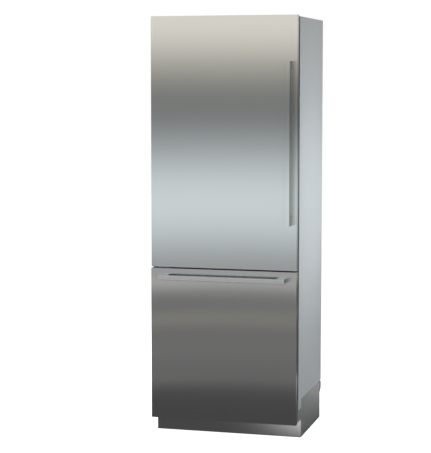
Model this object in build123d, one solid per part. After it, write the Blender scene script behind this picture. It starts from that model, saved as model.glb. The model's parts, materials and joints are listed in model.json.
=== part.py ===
from build123d import *
import os
from math import cos, radians, sin, tan

# Free-standing tall refrigerator: a hinged upper door over a freezer drawer.
# Front faces -Y, +X is to the right seen from the front, +Z is up.
# The origin is on the floor, in the middle of the overall width and depth.
# Depths named *_D are measured back from the front face of the door.

os.makedirs("parts", exist_ok=True)

# ------------------------------------------------------------------ driving sizes, mm
# Steel cabinet
SHELL_W = 762.0  # outside width
SHELL_TOP = 2124.0  # floor to the top of the cabinet
SHELL_DEPTH = 575.0  # front face to back panel
SHEET = 1.0  # outer sheet
CUT = 1.0  # how far a cutter runs past the face it cuts
ROOT = 1.0  # how far one shape of a piece runs into the next
FRAME_T = 1.2  # front frame sheet
BASE_H = 202.0  # floor to the underside of the insulated cabinet
TONGUE_LOW = 155.0  # lower end of the side panel's front tongue

# Door and drawer fronts
PANEL_SIDE = 3.0  # fronts' edges in from the cabinet's sides
DOOR_T = 35.0  # front skin to the inner sheet
DOOR_RISE = 6.0  # door top above the cabinet top
DRAWER_TOP = 859.0
DRAWER_LOW = 87.0
PANEL_GAP = 7.0  # between drawer and door
HINGE_RELIEF = 2.0  # the door's hinge edge stands in from the drawer's
SKIN_T = 1.0  # stainless front sheet
SEAL_GAP = 9.5  # inner sheet of the door to the cabinet face

# Insulation thickness, sheets included
FRIDGE_WALL = 50.0
FREEZER_WALL = 62.0
TOP_WALL = 58.0
FLOOR_WALL = 58.0
FRIDGE_BACK_WALL = 60.0
FREEZER_BACK_WALL = 64.0
DIVIDER_H = 82.0
LINER_T = 2.0

# Door seals and the raised inner face of each front
SEAL_INSET = 12.0
SEAL_W = 18.0
SEAL_FOOT_T = 3.0
SEAL_LIP = 4.0  # how far the bulb is wider than the foot on each side
SEAL_REST = 0.3  # bulb to the cabinet face
SEAL_CORNER_R = 10.0
SEAL_HOLE_R = 5.0
SEAL_SILL = 10.0  # lower drawer seal above the cabinet's lower edge
PLUG_CLEAR = 12.0
PLUG_RISE = 25.0
RIDGE_W = 20.0
RIDGE_RISE = 30.0

# Door hinges
PIN_INSET = 14.0  # pin axis from the hinge edge
PIN_D = 14.0  # pin axis behind the door's front face
PIN_R = 4.0
PIN_L = 24.0
PIN_FIT = 0.05
BUSH_WALL = 3.0
BUSH_FLANGE_R = 9.0
HINGE_PLATE_T = 4.0
HINGE_ARM_R = 10.0
HINGE_ARM_TURN = 35.0  # the arm slants this far towards the door's middle, degrees
HINGE_FOOT_W = 66.0
HINGE_FOOT_DEPTH = 56.0
HINGE_FLANGE_T = 2.5
HINGE_SEAL_GAP = 2.0  # lower hinge's flange above the drawer's seal
CAP_CLEAR = 2.0  # hinge plate to the door's end cap
CAP_T = 10.0
LOW_CAP_RISE = 8.0  # the lower cap stands this far inside the skin
END_PLAY = 0.3
SCREW_R = 2.4
SCREW_HOLE_R = 2.5
SCREW_HEAD_R = 4.6
SCREW_HEAD_H = 2.6
SCREW_L = 14.0
SCREW_TIP_GAP = 0.5
SCREW_PITCH = 22.0

# Handles
HANDLE_REACH = 58.0  # front of the bar from the panel
HANDLE_BAR = 22.0  # the bar's square section
HANDLE_BLOCK_L = 45.0
HANDLE_EDGE_R = 1.5
DOOR_HANDLE_L = 812.0
DOOR_HANDLE_EDGE = 37.0  # bar centre line from the door's free edge
DRAWER_HANDLE_END = 50.5  # handle's ends in from the drawer's edges
DRAWER_HANDLE_DROP = 42.0  # bar centre line below the drawer's top edge

# Fridge compartment
SHELF_COUNT = 4
SHELF_TOP_SPACE = 212.5  # top pane's underside to the ceiling
GLASS_T = 4.0
SHELF_FRONT_D = 160.0
SHELF_SIDE_CLEAR = 1.0
SHELF_REAR_CLEAR = 24.0
TRIM_DEPTH = 12.0
TRIM_LAP = 8.0  # glass held inside the front trim
TRIM_OVER = 4.0
LEDGE_W = 14.0
LEDGE_T = 8.0
LEDGE_TRIM_GAP = 2.0
CRISPER_COUNT = 2
CRISPER_H = 170.0
CRISPER_GAP = 4.0  # over the grip
CRISPER_WALL = 2.5
CRISPER_CORNER_R = 14.0
CRISPER_FRONT_T = 12.0
CRISPER_FRONT_SIDE = 11.0  # front's edge to the compartment's side
CRISPER_GRIP = 8.0
CRISPER_GRIP_H = 12.0
CRISPER_GRIP_T = 3.0
CRISPER_BACK_CLEAR = 30.0
CRISPER_RIM_W = 10.0
CRISPER_RIM_T = 3.0
SLIDE_REST = 0.3  # running gap of what slides on a ledge
SIDE_RUN = 3.0  # side gap beside what slides on a ledge
AIR_PANEL_W = 280.0
AIR_PANEL_DEPTH = 22.0
AIR_PANEL_T = 2.5
AIR_SLOT_W = 150.0
AIR_SLOT_H = 8.0
AIR_PANEL_MARGIN = 30.0
LIGHT_W = 18.0
LIGHT_T = 5.0
LIGHT_D = 100.0
LIGHT_RISE = 47.5  # lower end above the first shelf
CONTROL_W = 440.0
CONTROL_DEPTH = 60.0
CONTROL_H = 16.0
CONTROL_D = 98.0
CONTROL_GLASS_W = 180.0
CONTROL_GLASS_SINK = 2.0

# Door bins
BIN_COUNT = 4
BIN_TOP_SPACE = 134.5  # top bin's rim to the top of the ridges
BIN_DEPTH = 98.0
BIN_H = 90.0
BIN_WALL = 2.5
BIN_CORNER_R = 12.0
BIN_FIRST = 12.0  # lowest bin above the first shelf

# Freezer compartment
SLIDE_RISE = 220.0  # slide centre line above the freezer floor
SLIDE_END_CLEAR = 9.5  # slide's end to the evaporator cover
SLIDE_START_D = 72.0
SLIDE_MIDDLE_SHORT = 20.0
SLIDE_W = 10.5
SLIDE_HALF_H = 22.5
SLIDE_T = 1.2
SLIDE_RUN = 0.5
SLIDE_STEP = 3.2  # web to web
BASKET_LEDGE = 11.0
BASKET_BRACKET_W = 35.0
BASKET_BRACKET_H = 60.0
BASKET_BRACKET_T = 2.0
BASKET_WALL = 2.5
BASKET_CORNER_R = 20.0
BASKET_RIM_T = 3.0
BASKET_RIM_IN = 2.0
BASKET_SIDE_RUN = 0.5
BASKET_START_D = 66.0
BASKET_BACK_CLEAR = 45.5  # basket's back to the evaporator cover
BASKET_FLOOR_CLEAR = 12.0
TRAY_GAP = 34.0  # basket rim to the underside of the tray
TRAY_H = 140.0
TRAY_START_D = 85.0
TRAY_BACK_CLEAR = 46.5  # tray's back to the evaporator cover
TRAY_WALL = 2.5
TRAY_CORNER_R = 20.0
TRAY_RIM_W = 10.0
TRAY_RIM_T = 3.0
RUNNER_W = 14.0
RUNNER_T = 8.0

# Cooling parts in the freezer's back
EVAP_CHAMBER = 44.0
EVAP_COVER_T = 3.0
EVAP_W = 420.0
EVAP_H = 220.0
EVAP_RISE = 40.0
EVAP_FINS = 22
EVAP_TUBE_ROWS = 5
FAN_HOLE_R = 58.0
FAN_CLEAR = 5.0
FAN_HUB_R = 17.0
FAN_HUB_L = 16.0
FAN_BLADES = 5
FAN_BLADE_T = 2.0
FAN_BLADE_W = 26.0
FAN_BLADE_TURN = 35.0
FAN_BLADE_ROOT = 2.0
FAN_FIT = 0.05
FAN_SHAFT_R = 2.5
FAN_POD_R = 20.0
FAN_POD_L = 12.0
FAN_STRUT = 5.0
FAN_STRUTS = 3
FAN_RUN = 0.8  # pod face to the hub
EVAP_FAN_DROP = 90.0  # fan axis below the freezer ceiling

# Base under the cabinet
BASE_FRONT_D = 110.0
BASE_BACK_IN = 23.5  # base's back in from the cabinet's back
BASE_INSET = 1.0  # base sides in from the cabinet sides
BASE_SHEET = 2.0
FLOOR_GAP = 2.0
TRAY_FLOOR_Z = 9.0
KICK_T = 1.5
KICK_SLOTS = 6
KICK_SLOT_H = 6.0
KICK_SLOT_PITCH = 13.0
KICK_SLOT_W = 300.0
KICK_SLOT_TOP = 18.0  # first slot below the cabinet floor
COVER_FRONT_D = 36.0
COVER_LOW = 95.0
COVER_TOP_GAP = 6.0
REAR_COVER_T = 1.5
REAR_SLOTS = 8
REAR_SLOT_TOP = 18.0  # first slot below the cabinet floor
REAR_SLOT_SHIFT = 44.0  # compressor's slots stand this far from it, clear of the inlet
REAR_SLOT_W = 240.0
REAR_SLOT_H = 6.0
REAR_SLOT_PITCH = 14.0
SPACER_W = 28.0
SPACER_H = 54.0
SPACER_LOW = 141.0
SPACER_BEHIND = 6.5  # spacer back behind the cabinet's back
SPACER_CUT = 16.0

# Feet and rollers
FOOT_SIDE = 35.0  # foot axis in from the cabinet's side
FOOT_IN = 42.0  # foot axis behind the toe-kick
FOOT_R = 18.0
FOOT_STEM_R = 6.0
FOOT_STEM_L = 44.0
FOOT_PAD_GAP = 0.3
FOOT_BOSS_R = 12.0
FOOT_BOSS_H = 30.0
FOOT_FIT = 0.08
ROLLER_MIDDLE_SIDE = 41.0  # roller's middle in from the cabinet's side
ROLLER_IN = 42.0  # roller axis ahead of the base's back
ROLLER_R = 20.0
ROLLER_W = 16.0
ROLLER_SIDE = 0.5
ROLLER_END = 1.0  # floor opening beyond the wheel, front and back
ROLLER_EAR_T = 3.0
ROLLER_EAR_L = 30.0
ROLLER_BRIDGE_GAP = 4.0
AXLE_R = 4.0
AXLE_FIT = 0.06

# Machine compartment
COMP_SIDE = 191.0  # compressor axis in from the cabinet's left side
COMP_IN = 190.0  # compressor axis ahead of the base's back
COMP_R = 78.0
COMP_H = 124.0
COMP_DOME_R = 30.0
COMP_SEAM_R = 81.0
COMP_SEAM_H = 5.0
COMP_PLATE = 190.0
COMP_PLATE_T = 3.0
GROMMET_R = 13.0
GROMMET_H = 18.0
GROMMET_IN = 18.0
BOX_W = 40.0
BOX_DEPTH = 96.0
BOX_H = 74.0
COND_SIDE = 79.0  # condenser's end in from the cabinet's right side
COND_W = 250.0
COND_IN = 40.0  # front of the condenser behind the toe-kick
COND_DEPTH = 66.0
COND_H = 150.0
COND_FINS = 24
COND_TUBE_ROWS = 5
COIL_TUBE_R = 4.0
COIL_FIN_T = 1.0
FAN_FRAME = 150.0
FAN_FRAME_T = 30.0
FAN_FRAME_WALL = 6.0
FAN_FRAME_GAP = 18.0
PAN_W = 230.0
PAN_DEPTH = 150.0
PAN_H = 46.0
PAN_WALL = 2.0
PAN_CORNER_R = 14.0
PAN_IN = 16.0
PIPE_R = 3.0
PIPE_BEND_R = 24.0
PIPE_RISE = 96.0  # discharge line above the tray floor
INLET_SIDE = 81.0  # inlet's middle in from the cabinet's left side
INLET_Z = 120.0
INLET_W = 44.0
INLET_H = 34.0
INLET_DEPTH = 24.0
INLET_WALL = 4.0
INLET_FLOOR = 5.0
INLET_BLADE_W = 6.0
INLET_BLADE_T = 1.5
INLET_BLADE_L = 11.0
INLET_BLADE_PITCH = 10.0
INLET_PROUD = 3.0

# ------------------------------------------------------------------ places worked out from them
FACE_D = DOOR_T + SEAL_GAP  # cabinet front face
BACK_D = FACE_D + SHELL_DEPTH
FRONT_Y = HANDLE_REACH - (HANDLE_REACH + BACK_D + SPACER_BEHIND) / 2


def at(depth):
    """The Y place at a depth behind the door's front face."""
    return FRONT_Y + depth


HALF_SHELL = SHELL_W / 2
HALF_CORE = HALF_SHELL - SHEET
HALF_PANEL = HALF_SHELL - PANEL_SIDE
HALF_BASE = HALF_SHELL - BASE_INSET
FACE_Y = at(FACE_D)
FRAME_Y = FACE_Y + FRAME_T  # back of the front frame
BACK_Y = at(BACK_D)
CORE_BACK_Y = BACK_Y - SHEET
DOOR_FRONT_Y = at(0)
DOOR_BACK_Y = at(DOOR_T)
PLUG_Y = DOOR_BACK_Y + PLUG_RISE
DOOR_LEFT = -HALF_PANEL + HINGE_RELIEF
DOOR_RIGHT = HALF_PANEL
DOOR_LOW = DRAWER_TOP + PANEL_GAP
DOOR_TOP = SHELL_TOP + DOOR_RISE
DIVIDER_Z = (DRAWER_TOP + DOOR_LOW) / 2

FRIDGE_X = HALF_SHELL - FRIDGE_WALL
FRIDGE_Z = (DIVIDER_Z + DIVIDER_H / 2, SHELL_TOP - TOP_WALL)
FRIDGE_BACK_Y = BACK_Y - FRIDGE_BACK_WALL
FREEZER_X = HALF_SHELL - FREEZER_WALL
FREEZER_Z = (BASE_H + FLOOR_WALL, DIVIDER_Z - DIVIDER_H / 2)
FREEZER_BACK_Y = BACK_Y - FREEZER_BACK_WALL

LOW_CAP_Z = DOOR_LOW + LOW_CAP_RISE
TOP_CAP_Z = SHELL_TOP - CAP_CLEAR
PIN_X = DOOR_LEFT + PIN_INSET
PIN_Y = at(PIN_D)
BUSH_FLANGE_T = CAP_CLEAR - END_PLAY
BUSH_R = PIN_R + PIN_FIT + BUSH_WALL
LOW_PLATE_Z = LOW_CAP_Z - CAP_CLEAR - HINGE_PLATE_T
PLUG_FRIDGE_X = FRIDGE_X - PLUG_CLEAR
PLUG_FRIDGE_Z = (FRIDGE_Z[0] + PLUG_CLEAR, FRIDGE_Z[1] - PLUG_CLEAR)
PLUG_FREEZER_X = FREEZER_X - PLUG_CLEAR
PLUG_FREEZER_Z = (FREEZER_Z[0] + PLUG_CLEAR, FREEZER_Z[1] - PLUG_CLEAR)

LEDGE_Y = (at(SHELF_FRONT_D) + TRIM_DEPTH + LEDGE_TRIM_GAP, FRIDGE_BACK_Y - SHELF_REAR_CLEAR - TRIM_DEPTH)
CRISPER_X = FRIDGE_X - LEDGE_W - SIDE_RUN
CRISPER_PITCH = CRISPER_H + CRISPER_GRIP_H + CRISPER_GAP
CRISPER_Z = [FRIDGE_Z[0] + CRISPER_GAP + i * CRISPER_PITCH for i in range(CRISPER_COUNT)]
SHELF_FIRST = CRISPER_Z[-1] + CRISPER_PITCH + TRIM_OVER
SHELF_PITCH = (FRIDGE_Z[1] - SHELF_TOP_SPACE - SHELF_FIRST) / (SHELF_COUNT - 1)
SHELF_Z = [SHELF_FIRST + i * SHELF_PITCH for i in range(SHELF_COUNT)]
RIDGE_Z = (SHELF_Z[0] - BIN_WALL, PLUG_FRIDGE_Z[1])
RIDGE_Y = PLUG_Y + RIDGE_RISE
BIN_X = PLUG_FRIDGE_X - RIDGE_W
BIN_PITCH = (RIDGE_Z[1] - BIN_TOP_SPACE - BIN_H - SHELF_Z[0] - BIN_FIRST) / (BIN_COUNT - 1)
BIN_Z = [SHELF_Z[0] + BIN_FIRST + i * BIN_PITCH for i in range(BIN_COUNT)]

SLIDE_Z = FREEZER_Z[0] + SLIDE_RISE
SLIDE_TIP_X = FREEZER_X - SLIDE_W  # inner edge of the fixed channel
INNER_HALF_H = SLIDE_HALF_H - 2 * SLIDE_T - 2 * SLIDE_RUN
BASKET_RIM_X = SLIDE_TIP_X - BASKET_RIM_IN
BASKET_X = BASKET_RIM_X - BASKET_LEDGE
BASKET_RIM_Z = SLIDE_Z + INNER_HALF_H
TRAY_Z = BASKET_RIM_Z + BASKET_RIM_T + TRAY_GAP
RUNNER_TOP = TRAY_Z + TRAY_H - TRAY_RIM_T - SLIDE_REST
TRAY_X = FREEZER_X - RUNNER_W - SIDE_RUN
EVAP_FAN_Z = FREEZER_Z[1] - EVAP_FAN_DROP
COVER_Y = FREEZER_BACK_Y - EVAP_CHAMBER

BASE_FRONT_Y = at(BASE_FRONT_D)
BASE_BACK_Y = BACK_Y - BASE_BACK_IN
KICK_BACK_Y = BASE_FRONT_Y + KICK_T
TRAY_TOP_Z = TRAY_FLOOR_Z + BASE_SHEET
COMP_X = COMP_SIDE - HALF_SHELL
COMP_Y = BASE_BACK_Y - COMP_IN
COMP_Z = TRAY_TOP_Z + GROMMET_H + COMP_PLATE_T
COND_X = HALF_SHELL - COND_SIDE - COND_W
COND_Y = BASE_FRONT_Y + COND_IN
FAN_Y = COND_Y + COND_DEPTH + FAN_FRAME_GAP
FAN_X = COND_X + COND_W / 2
FAN_Z = TRAY_TOP_Z + FAN_FRAME / 2
FOOT_X = HALF_SHELL - FOOT_SIDE
FOOT_Y = BASE_FRONT_Y + FOOT_IN
ROLLER_X = HALF_SHELL - ROLLER_MIDDLE_SIDE
ROLLER_Y = BASE_BACK_Y - ROLLER_IN
INLET_X = INLET_SIDE - HALF_SHELL


# ------------------------------------------------------------------ small tools
def block(x, y, z):
    """A box between pairs of limits."""
    size = (x[1] - x[0], y[1] - y[0], z[1] - z[0])
    middle = ((x[0] + x[1]) / 2, (y[0] + y[1]) / 2, (z[0] + z[1]) / 2)
    return Pos(*middle) * Box(*size)


def centred(half):
    """Limits that lie evenly about the middle plane."""
    return (-half, half)


def about(centre, size):
    """Limits of a size about a centre."""
    return (centre - size / 2, centre + size / 2)


def inset(limits, by):
    """Limits drawn in by the same amount at both ends."""
    return (limits[0] + by, limits[1] - by)


def upright_box(x, y, z, radius):
    """A box whose upright edges are rounded."""
    middle = ((x[0] + x[1]) / 2, (y[0] + y[1]) / 2, z[0])
    outline = RectangleRounded(x[1] - x[0], y[1] - y[0], radius)
    return Pos(*middle) * extrude(outline, z[1] - z[0])


def facing_box(x, y, z, radius):
    """A box whose edges along Y are rounded."""
    middle = ((x[0] + x[1]) / 2, y[1], (z[0] + z[1]) / 2)
    outline = Plane.XZ * RectangleRounded(x[1] - x[0], z[1] - z[0], radius)
    return Pos(*middle) * extrude(outline, y[1] - y[0])


def rod(radius, start, end):
    """A round bar from one point to another."""
    line = Vector(*end) - Vector(*start)
    return extrude(Plane(origin=start, z_dir=line) * Circle(radius), line.length)


def open_box(x, y, z, wall, radius):
    """An open-topped bin with rounded upright corners."""
    hollow = upright_box(inset(x, wall), inset(y, wall), (z[0] + wall, z[1] + wall), radius - wall)
    return upright_box(x, y, z, radius) - hollow


def pair(solid):
    """A right-hand piece with its left-hand twin."""
    return [solid, mirror(solid, about=Plane.YZ)]


def save(node, *pieces):
    """Writes the solids of one sub-part."""
    solids = [s for piece in pieces for s in piece.solids()]
    export_step(Compound(solids), f"parts/{node}.step")


# ------------------------------------------------------------------ hinges and their screws
def hinge_arm(foot_front_y, z):
    """The slanted arm: a round end at the pin, running back to the hinge's foot."""
    turn = radians(HINGE_ARM_TURN)
    across = Vector(cos(turn), -sin(turn))
    pin = Vector(PIN_X, PIN_Y)
    near = [pin - across * HINGE_ARM_R, pin + across * HINGE_ARM_R]
    reach = [foot_front_y + HINGE_FLANGE_T - point.Y for point in near]
    far = [Vector(p.X + r * tan(turn), p.Y + r) for p, r in zip(near, reach)]
    outline = make_face(Polyline(near[0], far[0], far[1], near[1], close=True))
    arm = Pos(0, 0, z) * extrude(outline, HINGE_PLATE_T)
    disc = rod(HINGE_ARM_R, (PIN_X, PIN_Y, z), (PIN_X, PIN_Y, z + HINGE_PLATE_T))
    return arm + disc, far[0].X


def screw(head_seat, direction):
    """A pan-head screw whose head sits on a point."""
    seat, way = Vector(*head_seat), Vector(*direction)
    head = rod(SCREW_HEAD_R, tuple(seat - way * SCREW_HEAD_H), head_seat)
    return head + rod(SCREW_R, head_seat, tuple(seat + way * SCREW_L))


def screw_hole(head_seat, direction):
    """The hole that clears a screw's shank."""
    end = Vector(*head_seat) + Vector(*direction) * (SCREW_L + SCREW_TIP_GAP)
    return rod(SCREW_HOLE_R, head_seat, tuple(end))


top_foot_y = FRAME_Y
top_arm, top_foot_x = hinge_arm(top_foot_y, SHELL_TOP)
top_plate_z = (SHELL_TOP, SHELL_TOP + HINGE_PLATE_T)
top_foot = block(
    (top_foot_x, top_foot_x + HINGE_FOOT_W), (top_foot_y, top_foot_y + HINGE_FOOT_DEPTH), top_plate_z
)
top_pin = rod(PIN_R, (PIN_X, PIN_Y, SHELL_TOP - PIN_L), (PIN_X, PIN_Y, SHELL_TOP + HINGE_PLATE_T / 2))
top_screws = [
    ((top_foot_x + HINGE_FOOT_W / 2 + i * SCREW_PITCH, top_foot_y + HINGE_FOOT_DEPTH / 2, top_plate_z[1]),
     (0, 0, -1))
    for i in (-1, 0, 1)
]

low_flange_y = FACE_Y - HINGE_FLANGE_T
low_arm, low_foot_x = hinge_arm(low_flange_y, LOW_PLATE_Z)
low_flange_z = (DRAWER_TOP - SEAL_INSET + HINGE_SEAL_GAP, LOW_PLATE_Z + HINGE_PLATE_T)
low_flange = block((low_foot_x, low_foot_x + HINGE_FOOT_W), (low_flange_y, FACE_Y), low_flange_z)
low_plate_top = LOW_PLATE_Z + HINGE_PLATE_T
low_pin = rod(PIN_R, (PIN_X, PIN_Y, low_plate_top - HINGE_PLATE_T / 2), (PIN_X, PIN_Y, low_plate_top + PIN_L))
low_screw_z = (low_flange_z[0] + LOW_PLATE_Z) / 2
low_screws = [
    ((low_foot_x + HINGE_FOOT_W / 2 + i * SCREW_PITCH, low_flange_y, low_screw_z), (0, 1, 0))
    for i in (-1, 1)
]
screw_places = top_screws + low_screws
screw_holes = [screw_hole(seat, way) for seat, way in screw_places]

upper_hinge = top_arm + top_foot + top_pin
lower_hinge = low_arm + low_flange + low_pin
for hole in screw_holes:
    upper_hinge -= hole
    lower_hinge -= hole
save("upper_hinge", upper_hinge)
save("lower_hinge", lower_hinge)
save("hinge_screws", *[screw(seat, way) for seat, way in screw_places])


# ------------------------------------------------------------------ cabinet shell and insulation
def side_panel():
    """The right-hand side sheet, with the tongue that runs down in front of the base."""
    x = (HALF_CORE, HALF_SHELL)
    sheet = block(x, (FACE_Y, BACK_Y), (BASE_H, SHELL_TOP))
    return sheet + block(x, (FACE_Y, BASE_FRONT_Y), (TONGUE_LOW, BASE_H))


right_panel, left_panel = pair(side_panel())
save("right_side_panel", right_panel)
save("left_side_panel", left_panel)

top_panel = block(centred(HALF_CORE), (FRAME_Y, BACK_Y), (SHELL_TOP - SHEET, SHELL_TOP))
for hole in screw_holes:
    top_panel -= hole
save("top_panel", top_panel)
core_z = (BASE_H + SHEET, SHELL_TOP - SHEET)
save("back_panel", block(centred(HALF_CORE), (CORE_BACK_Y, BACK_Y), core_z))
save("cabinet_floor", block(centred(HALF_CORE), (FACE_Y, BACK_Y), (BASE_H, BASE_H + SHEET)))

front_frame = block(centred(HALF_CORE), (FACE_Y, FRAME_Y), (BASE_H + SHEET, SHELL_TOP))
front_frame -= block(centred(FRIDGE_X), (FACE_Y - CUT, FRAME_Y + CUT), FRIDGE_Z)
front_frame -= block(centred(FREEZER_X), (FACE_Y - CUT, FRAME_Y + CUT), FREEZER_Z)
for hole in screw_holes:
    front_frame -= hole
save("front_frame", front_frame)


def cavity(half_x, back_y, z, grown):
    """The space of a compartment, grown by the liner's thickness or not."""
    return block(centred(half_x + grown), (FRAME_Y, back_y + grown), (z[0] - grown, z[1] + grown))


fridge_space = cavity(FRIDGE_X, FRIDGE_BACK_Y, FRIDGE_Z, LINER_T)
freezer_space = cavity(FREEZER_X, FREEZER_BACK_Y, FREEZER_Z, LINER_T)
foam = block(centred(HALF_CORE), (FRAME_Y, CORE_BACK_Y), core_z) - fridge_space - freezer_space
for hole in screw_holes:
    foam -= hole
save("cabinet_foam", foam)


def ledges(half_x, width, y, top, thickness):
    """A pair of moulded ledges on a compartment's side walls."""
    return pair(block((half_x - width, half_x), y, (top - thickness, top)))


fridge_liner = fridge_space - cavity(FRIDGE_X, FRIDGE_BACK_Y, FRIDGE_Z, 0)
crisper_ledge_tops = [z + CRISPER_H - CRISPER_RIM_T - SLIDE_REST for z in CRISPER_Z]
for ledge_top in SHELF_Z + crisper_ledge_tops:
    for ledge in ledges(FRIDGE_X, LEDGE_W, LEDGE_Y, ledge_top, LEDGE_T):
        fridge_liner += ledge
save("fridge_liner", fridge_liner)

freezer_liner = freezer_space - cavity(FREEZER_X, FREEZER_BACK_Y, FREEZER_Z, 0)
runner_y = (at(TRAY_START_D), COVER_Y)
for runner in ledges(FREEZER_X, RUNNER_W, runner_y, RUNNER_TOP, RUNNER_T):
    freezer_liner += runner
save("freezer_liner", freezer_liner)

# ------------------------------------------------------------------ fridge fittings
shelf_x = FRIDGE_X - SHELF_SIDE_CLEAR
shelf_y = (at(SHELF_FRONT_D), FRIDGE_BACK_Y - SHELF_REAR_CLEAR)
glass_y = (shelf_y[0] + TRIM_DEPTH - TRIM_LAP, shelf_y[1] - TRIM_DEPTH + TRIM_LAP)
glass_panes = [block(centred(shelf_x), glass_y, (z, z + GLASS_T)) for z in SHELF_Z]
save("shelf_glass", *glass_panes)


def shelf_trim(y, pane, z):
    """A channel that wraps one edge of a glass pane."""
    return block(centred(shelf_x), y, (z - TRIM_OVER, z + GLASS_T + TRIM_OVER)) - pane


shelf_trims = []
for pane, shelf_z in zip(glass_panes, SHELF_Z):
    shelf_trims.append(shelf_trim((shelf_y[0], shelf_y[0] + TRIM_DEPTH), pane, shelf_z))
    shelf_trims.append(shelf_trim((shelf_y[1] - TRIM_DEPTH, shelf_y[1]), pane, shelf_z))
save("shelf_trims", *shelf_trims)

air_x = centred(AIR_PANEL_W / 2)
air_y = (FRIDGE_BACK_Y - AIR_PANEL_DEPTH, FRIDGE_BACK_Y)
air_z = inset(FRIDGE_Z, AIR_PANEL_MARGIN)
air_panel = block(air_x, air_y, air_z) - block(
    inset(air_x, AIR_PANEL_T), (air_y[0] + AIR_PANEL_T, air_y[1] + CUT), inset(air_z, AIR_PANEL_T)
)
for i in range(SHELF_COUNT + 1):
    slot_z = SHELF_Z[0] + SHELF_PITCH * (i - 0.5)
    air_panel -= block(
        about(0, AIR_SLOT_W), (air_y[0] - CUT, air_y[0] + AIR_PANEL_T + CUT), about(slot_z, AIR_SLOT_H)
    )
save("fridge_air_panel", air_panel)

light_z = (SHELF_Z[0] + LIGHT_RISE, FRIDGE_Z[1] - AIR_PANEL_MARGIN)
light_y = (at(LIGHT_D), at(LIGHT_D) + LIGHT_W)
save("light_strips", *pair(block((FRIDGE_X - LIGHT_T, FRIDGE_X), light_y, light_z)))

control_y = (at(CONTROL_D), at(CONTROL_D) + CONTROL_DEPTH)
control = block(about(0, CONTROL_W), control_y, (FRIDGE_Z[1] - CONTROL_H, FRIDGE_Z[1]))
control -= block(
    about(0, CONTROL_GLASS_W), (control_y[0] - CUT, control_y[0] + CONTROL_GLASS_SINK),
    inset((FRIDGE_Z[1] - CONTROL_H, FRIDGE_Z[1]), CONTROL_GLASS_SINK),
)
save("control_panel", control)


def crisper(z):
    """A vegetable drawer: bin, rims that run on the liner's ledges, front with a grip."""
    front_y = (at(SHELF_FRONT_D), at(SHELF_FRONT_D) + CRISPER_FRONT_T)
    back = FRIDGE_BACK_Y - CRISPER_BACK_CLEAR
    top = z + CRISPER_H
    bin_x = centred(CRISPER_X)
    bin_y = (front_y[1] - CRISPER_WALL, back)
    body = open_box(bin_x, bin_y, (z, top), CRISPER_WALL, CRISPER_CORNER_R)
    rim_y = (LEDGE_Y[0], back - CRISPER_CORNER_R)
    rim_x = (CRISPER_X - CRISPER_WALL, FRIDGE_X - LEDGE_W + CRISPER_RIM_W)
    front_x = centred(FRIDGE_X - CRISPER_FRONT_SIDE)
    for rim in pair(block(rim_x, rim_y, (top - CRISPER_RIM_T, top))):
        body += rim
    front = block(front_x, front_y, (z, top + CRISPER_GRIP_H))
    grip_y = (front_y[0] - CRISPER_GRIP, front_y[0])
    grip_z = (top + CRISPER_GRIP_H - CRISPER_GRIP_T, top + CRISPER_GRIP_H)
    return body + front + block(front_x, grip_y, grip_z)


save("crisper_lower", crisper(CRISPER_Z[0]))
save("crisper_upper", crisper(CRISPER_Z[1]))


# ------------------------------------------------------------------ fans and coils
def fan_rotor(x, y, z, radius):
    """A hub on a shaft along Y, with slanted blades."""
    rotor = rod(FAN_HUB_R, (x, y, z), (x, y + FAN_HUB_L, z))
    blade_l = radius - FAN_HUB_R + FAN_BLADE_ROOT
    for i in range(FAN_BLADES):
        blade = Pos(0, 0, radius - blade_l / 2) * Rot(0, 0, FAN_BLADE_TURN) * Box(
            FAN_BLADE_W, FAN_BLADE_T, blade_l
        )
        rotor += Pos(x, y + FAN_HUB_L / 2, z) * Rot(0, i * 360 / FAN_BLADES, 0) * blade
    return rotor - rod(FAN_SHAFT_R + FAN_FIT, (x, y - CUT, z), (x, y + FAN_HUB_L + CUT, z))


def fan_carrier(x, y, z, hole_r):
    """Motor pod, shaft and the struts that hold them in a round hole; y is the pod's back."""
    front = y - FAN_POD_L
    pod = rod(FAN_POD_R, (x, front, z), (x, y, z))
    shaft = rod(FAN_SHAFT_R, (x, front + ROOT, z), (x, y + FAN_RUN + FAN_HUB_L, z))
    carrier = pod + shaft
    strut_l = hole_r + 2 * ROOT
    for i in range(FAN_STRUTS):
        strut = Pos(0, 0, strut_l / 2) * Box(FAN_STRUT, FAN_STRUT, strut_l)
        carrier += Pos(x, front + FAN_STRUT / 2, z) * Rot(0, i * 360 / FAN_STRUTS, 0) * strut
    return carrier


def finned_coil(x, y, z, fins, rows):
    """Fin plates square to X on rows of tubes, between two end plates."""
    coil = block((x[0], x[0] + 2 * COIL_FIN_T), y, z) + block((x[1] - 2 * COIL_FIN_T, x[1]), y, z)
    step = (z[1] - z[0]) / rows
    for row in range(rows):
        height = z[0] + (row + 0.5) * step
        coil += rod(COIL_TUBE_R, (x[0], (y[0] + y[1]) / 2, height), (x[1], (y[0] + y[1]) / 2, height))
    pitch = (x[1] - x[0]) / (fins + 1)
    for i in range(fins):
        coil += block(about(x[0] + (i + 1) * pitch, COIL_FIN_T), y, z)
    return coil


evap_y = (COVER_Y + EVAP_COVER_T, FREEZER_BACK_Y)
evap_z = (FREEZER_Z[0] + EVAP_RISE, FREEZER_Z[0] + EVAP_RISE + EVAP_H)
save("evaporator", finned_coil(about(0, EVAP_W), evap_y, evap_z, EVAP_FINS, EVAP_TUBE_ROWS))

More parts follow.
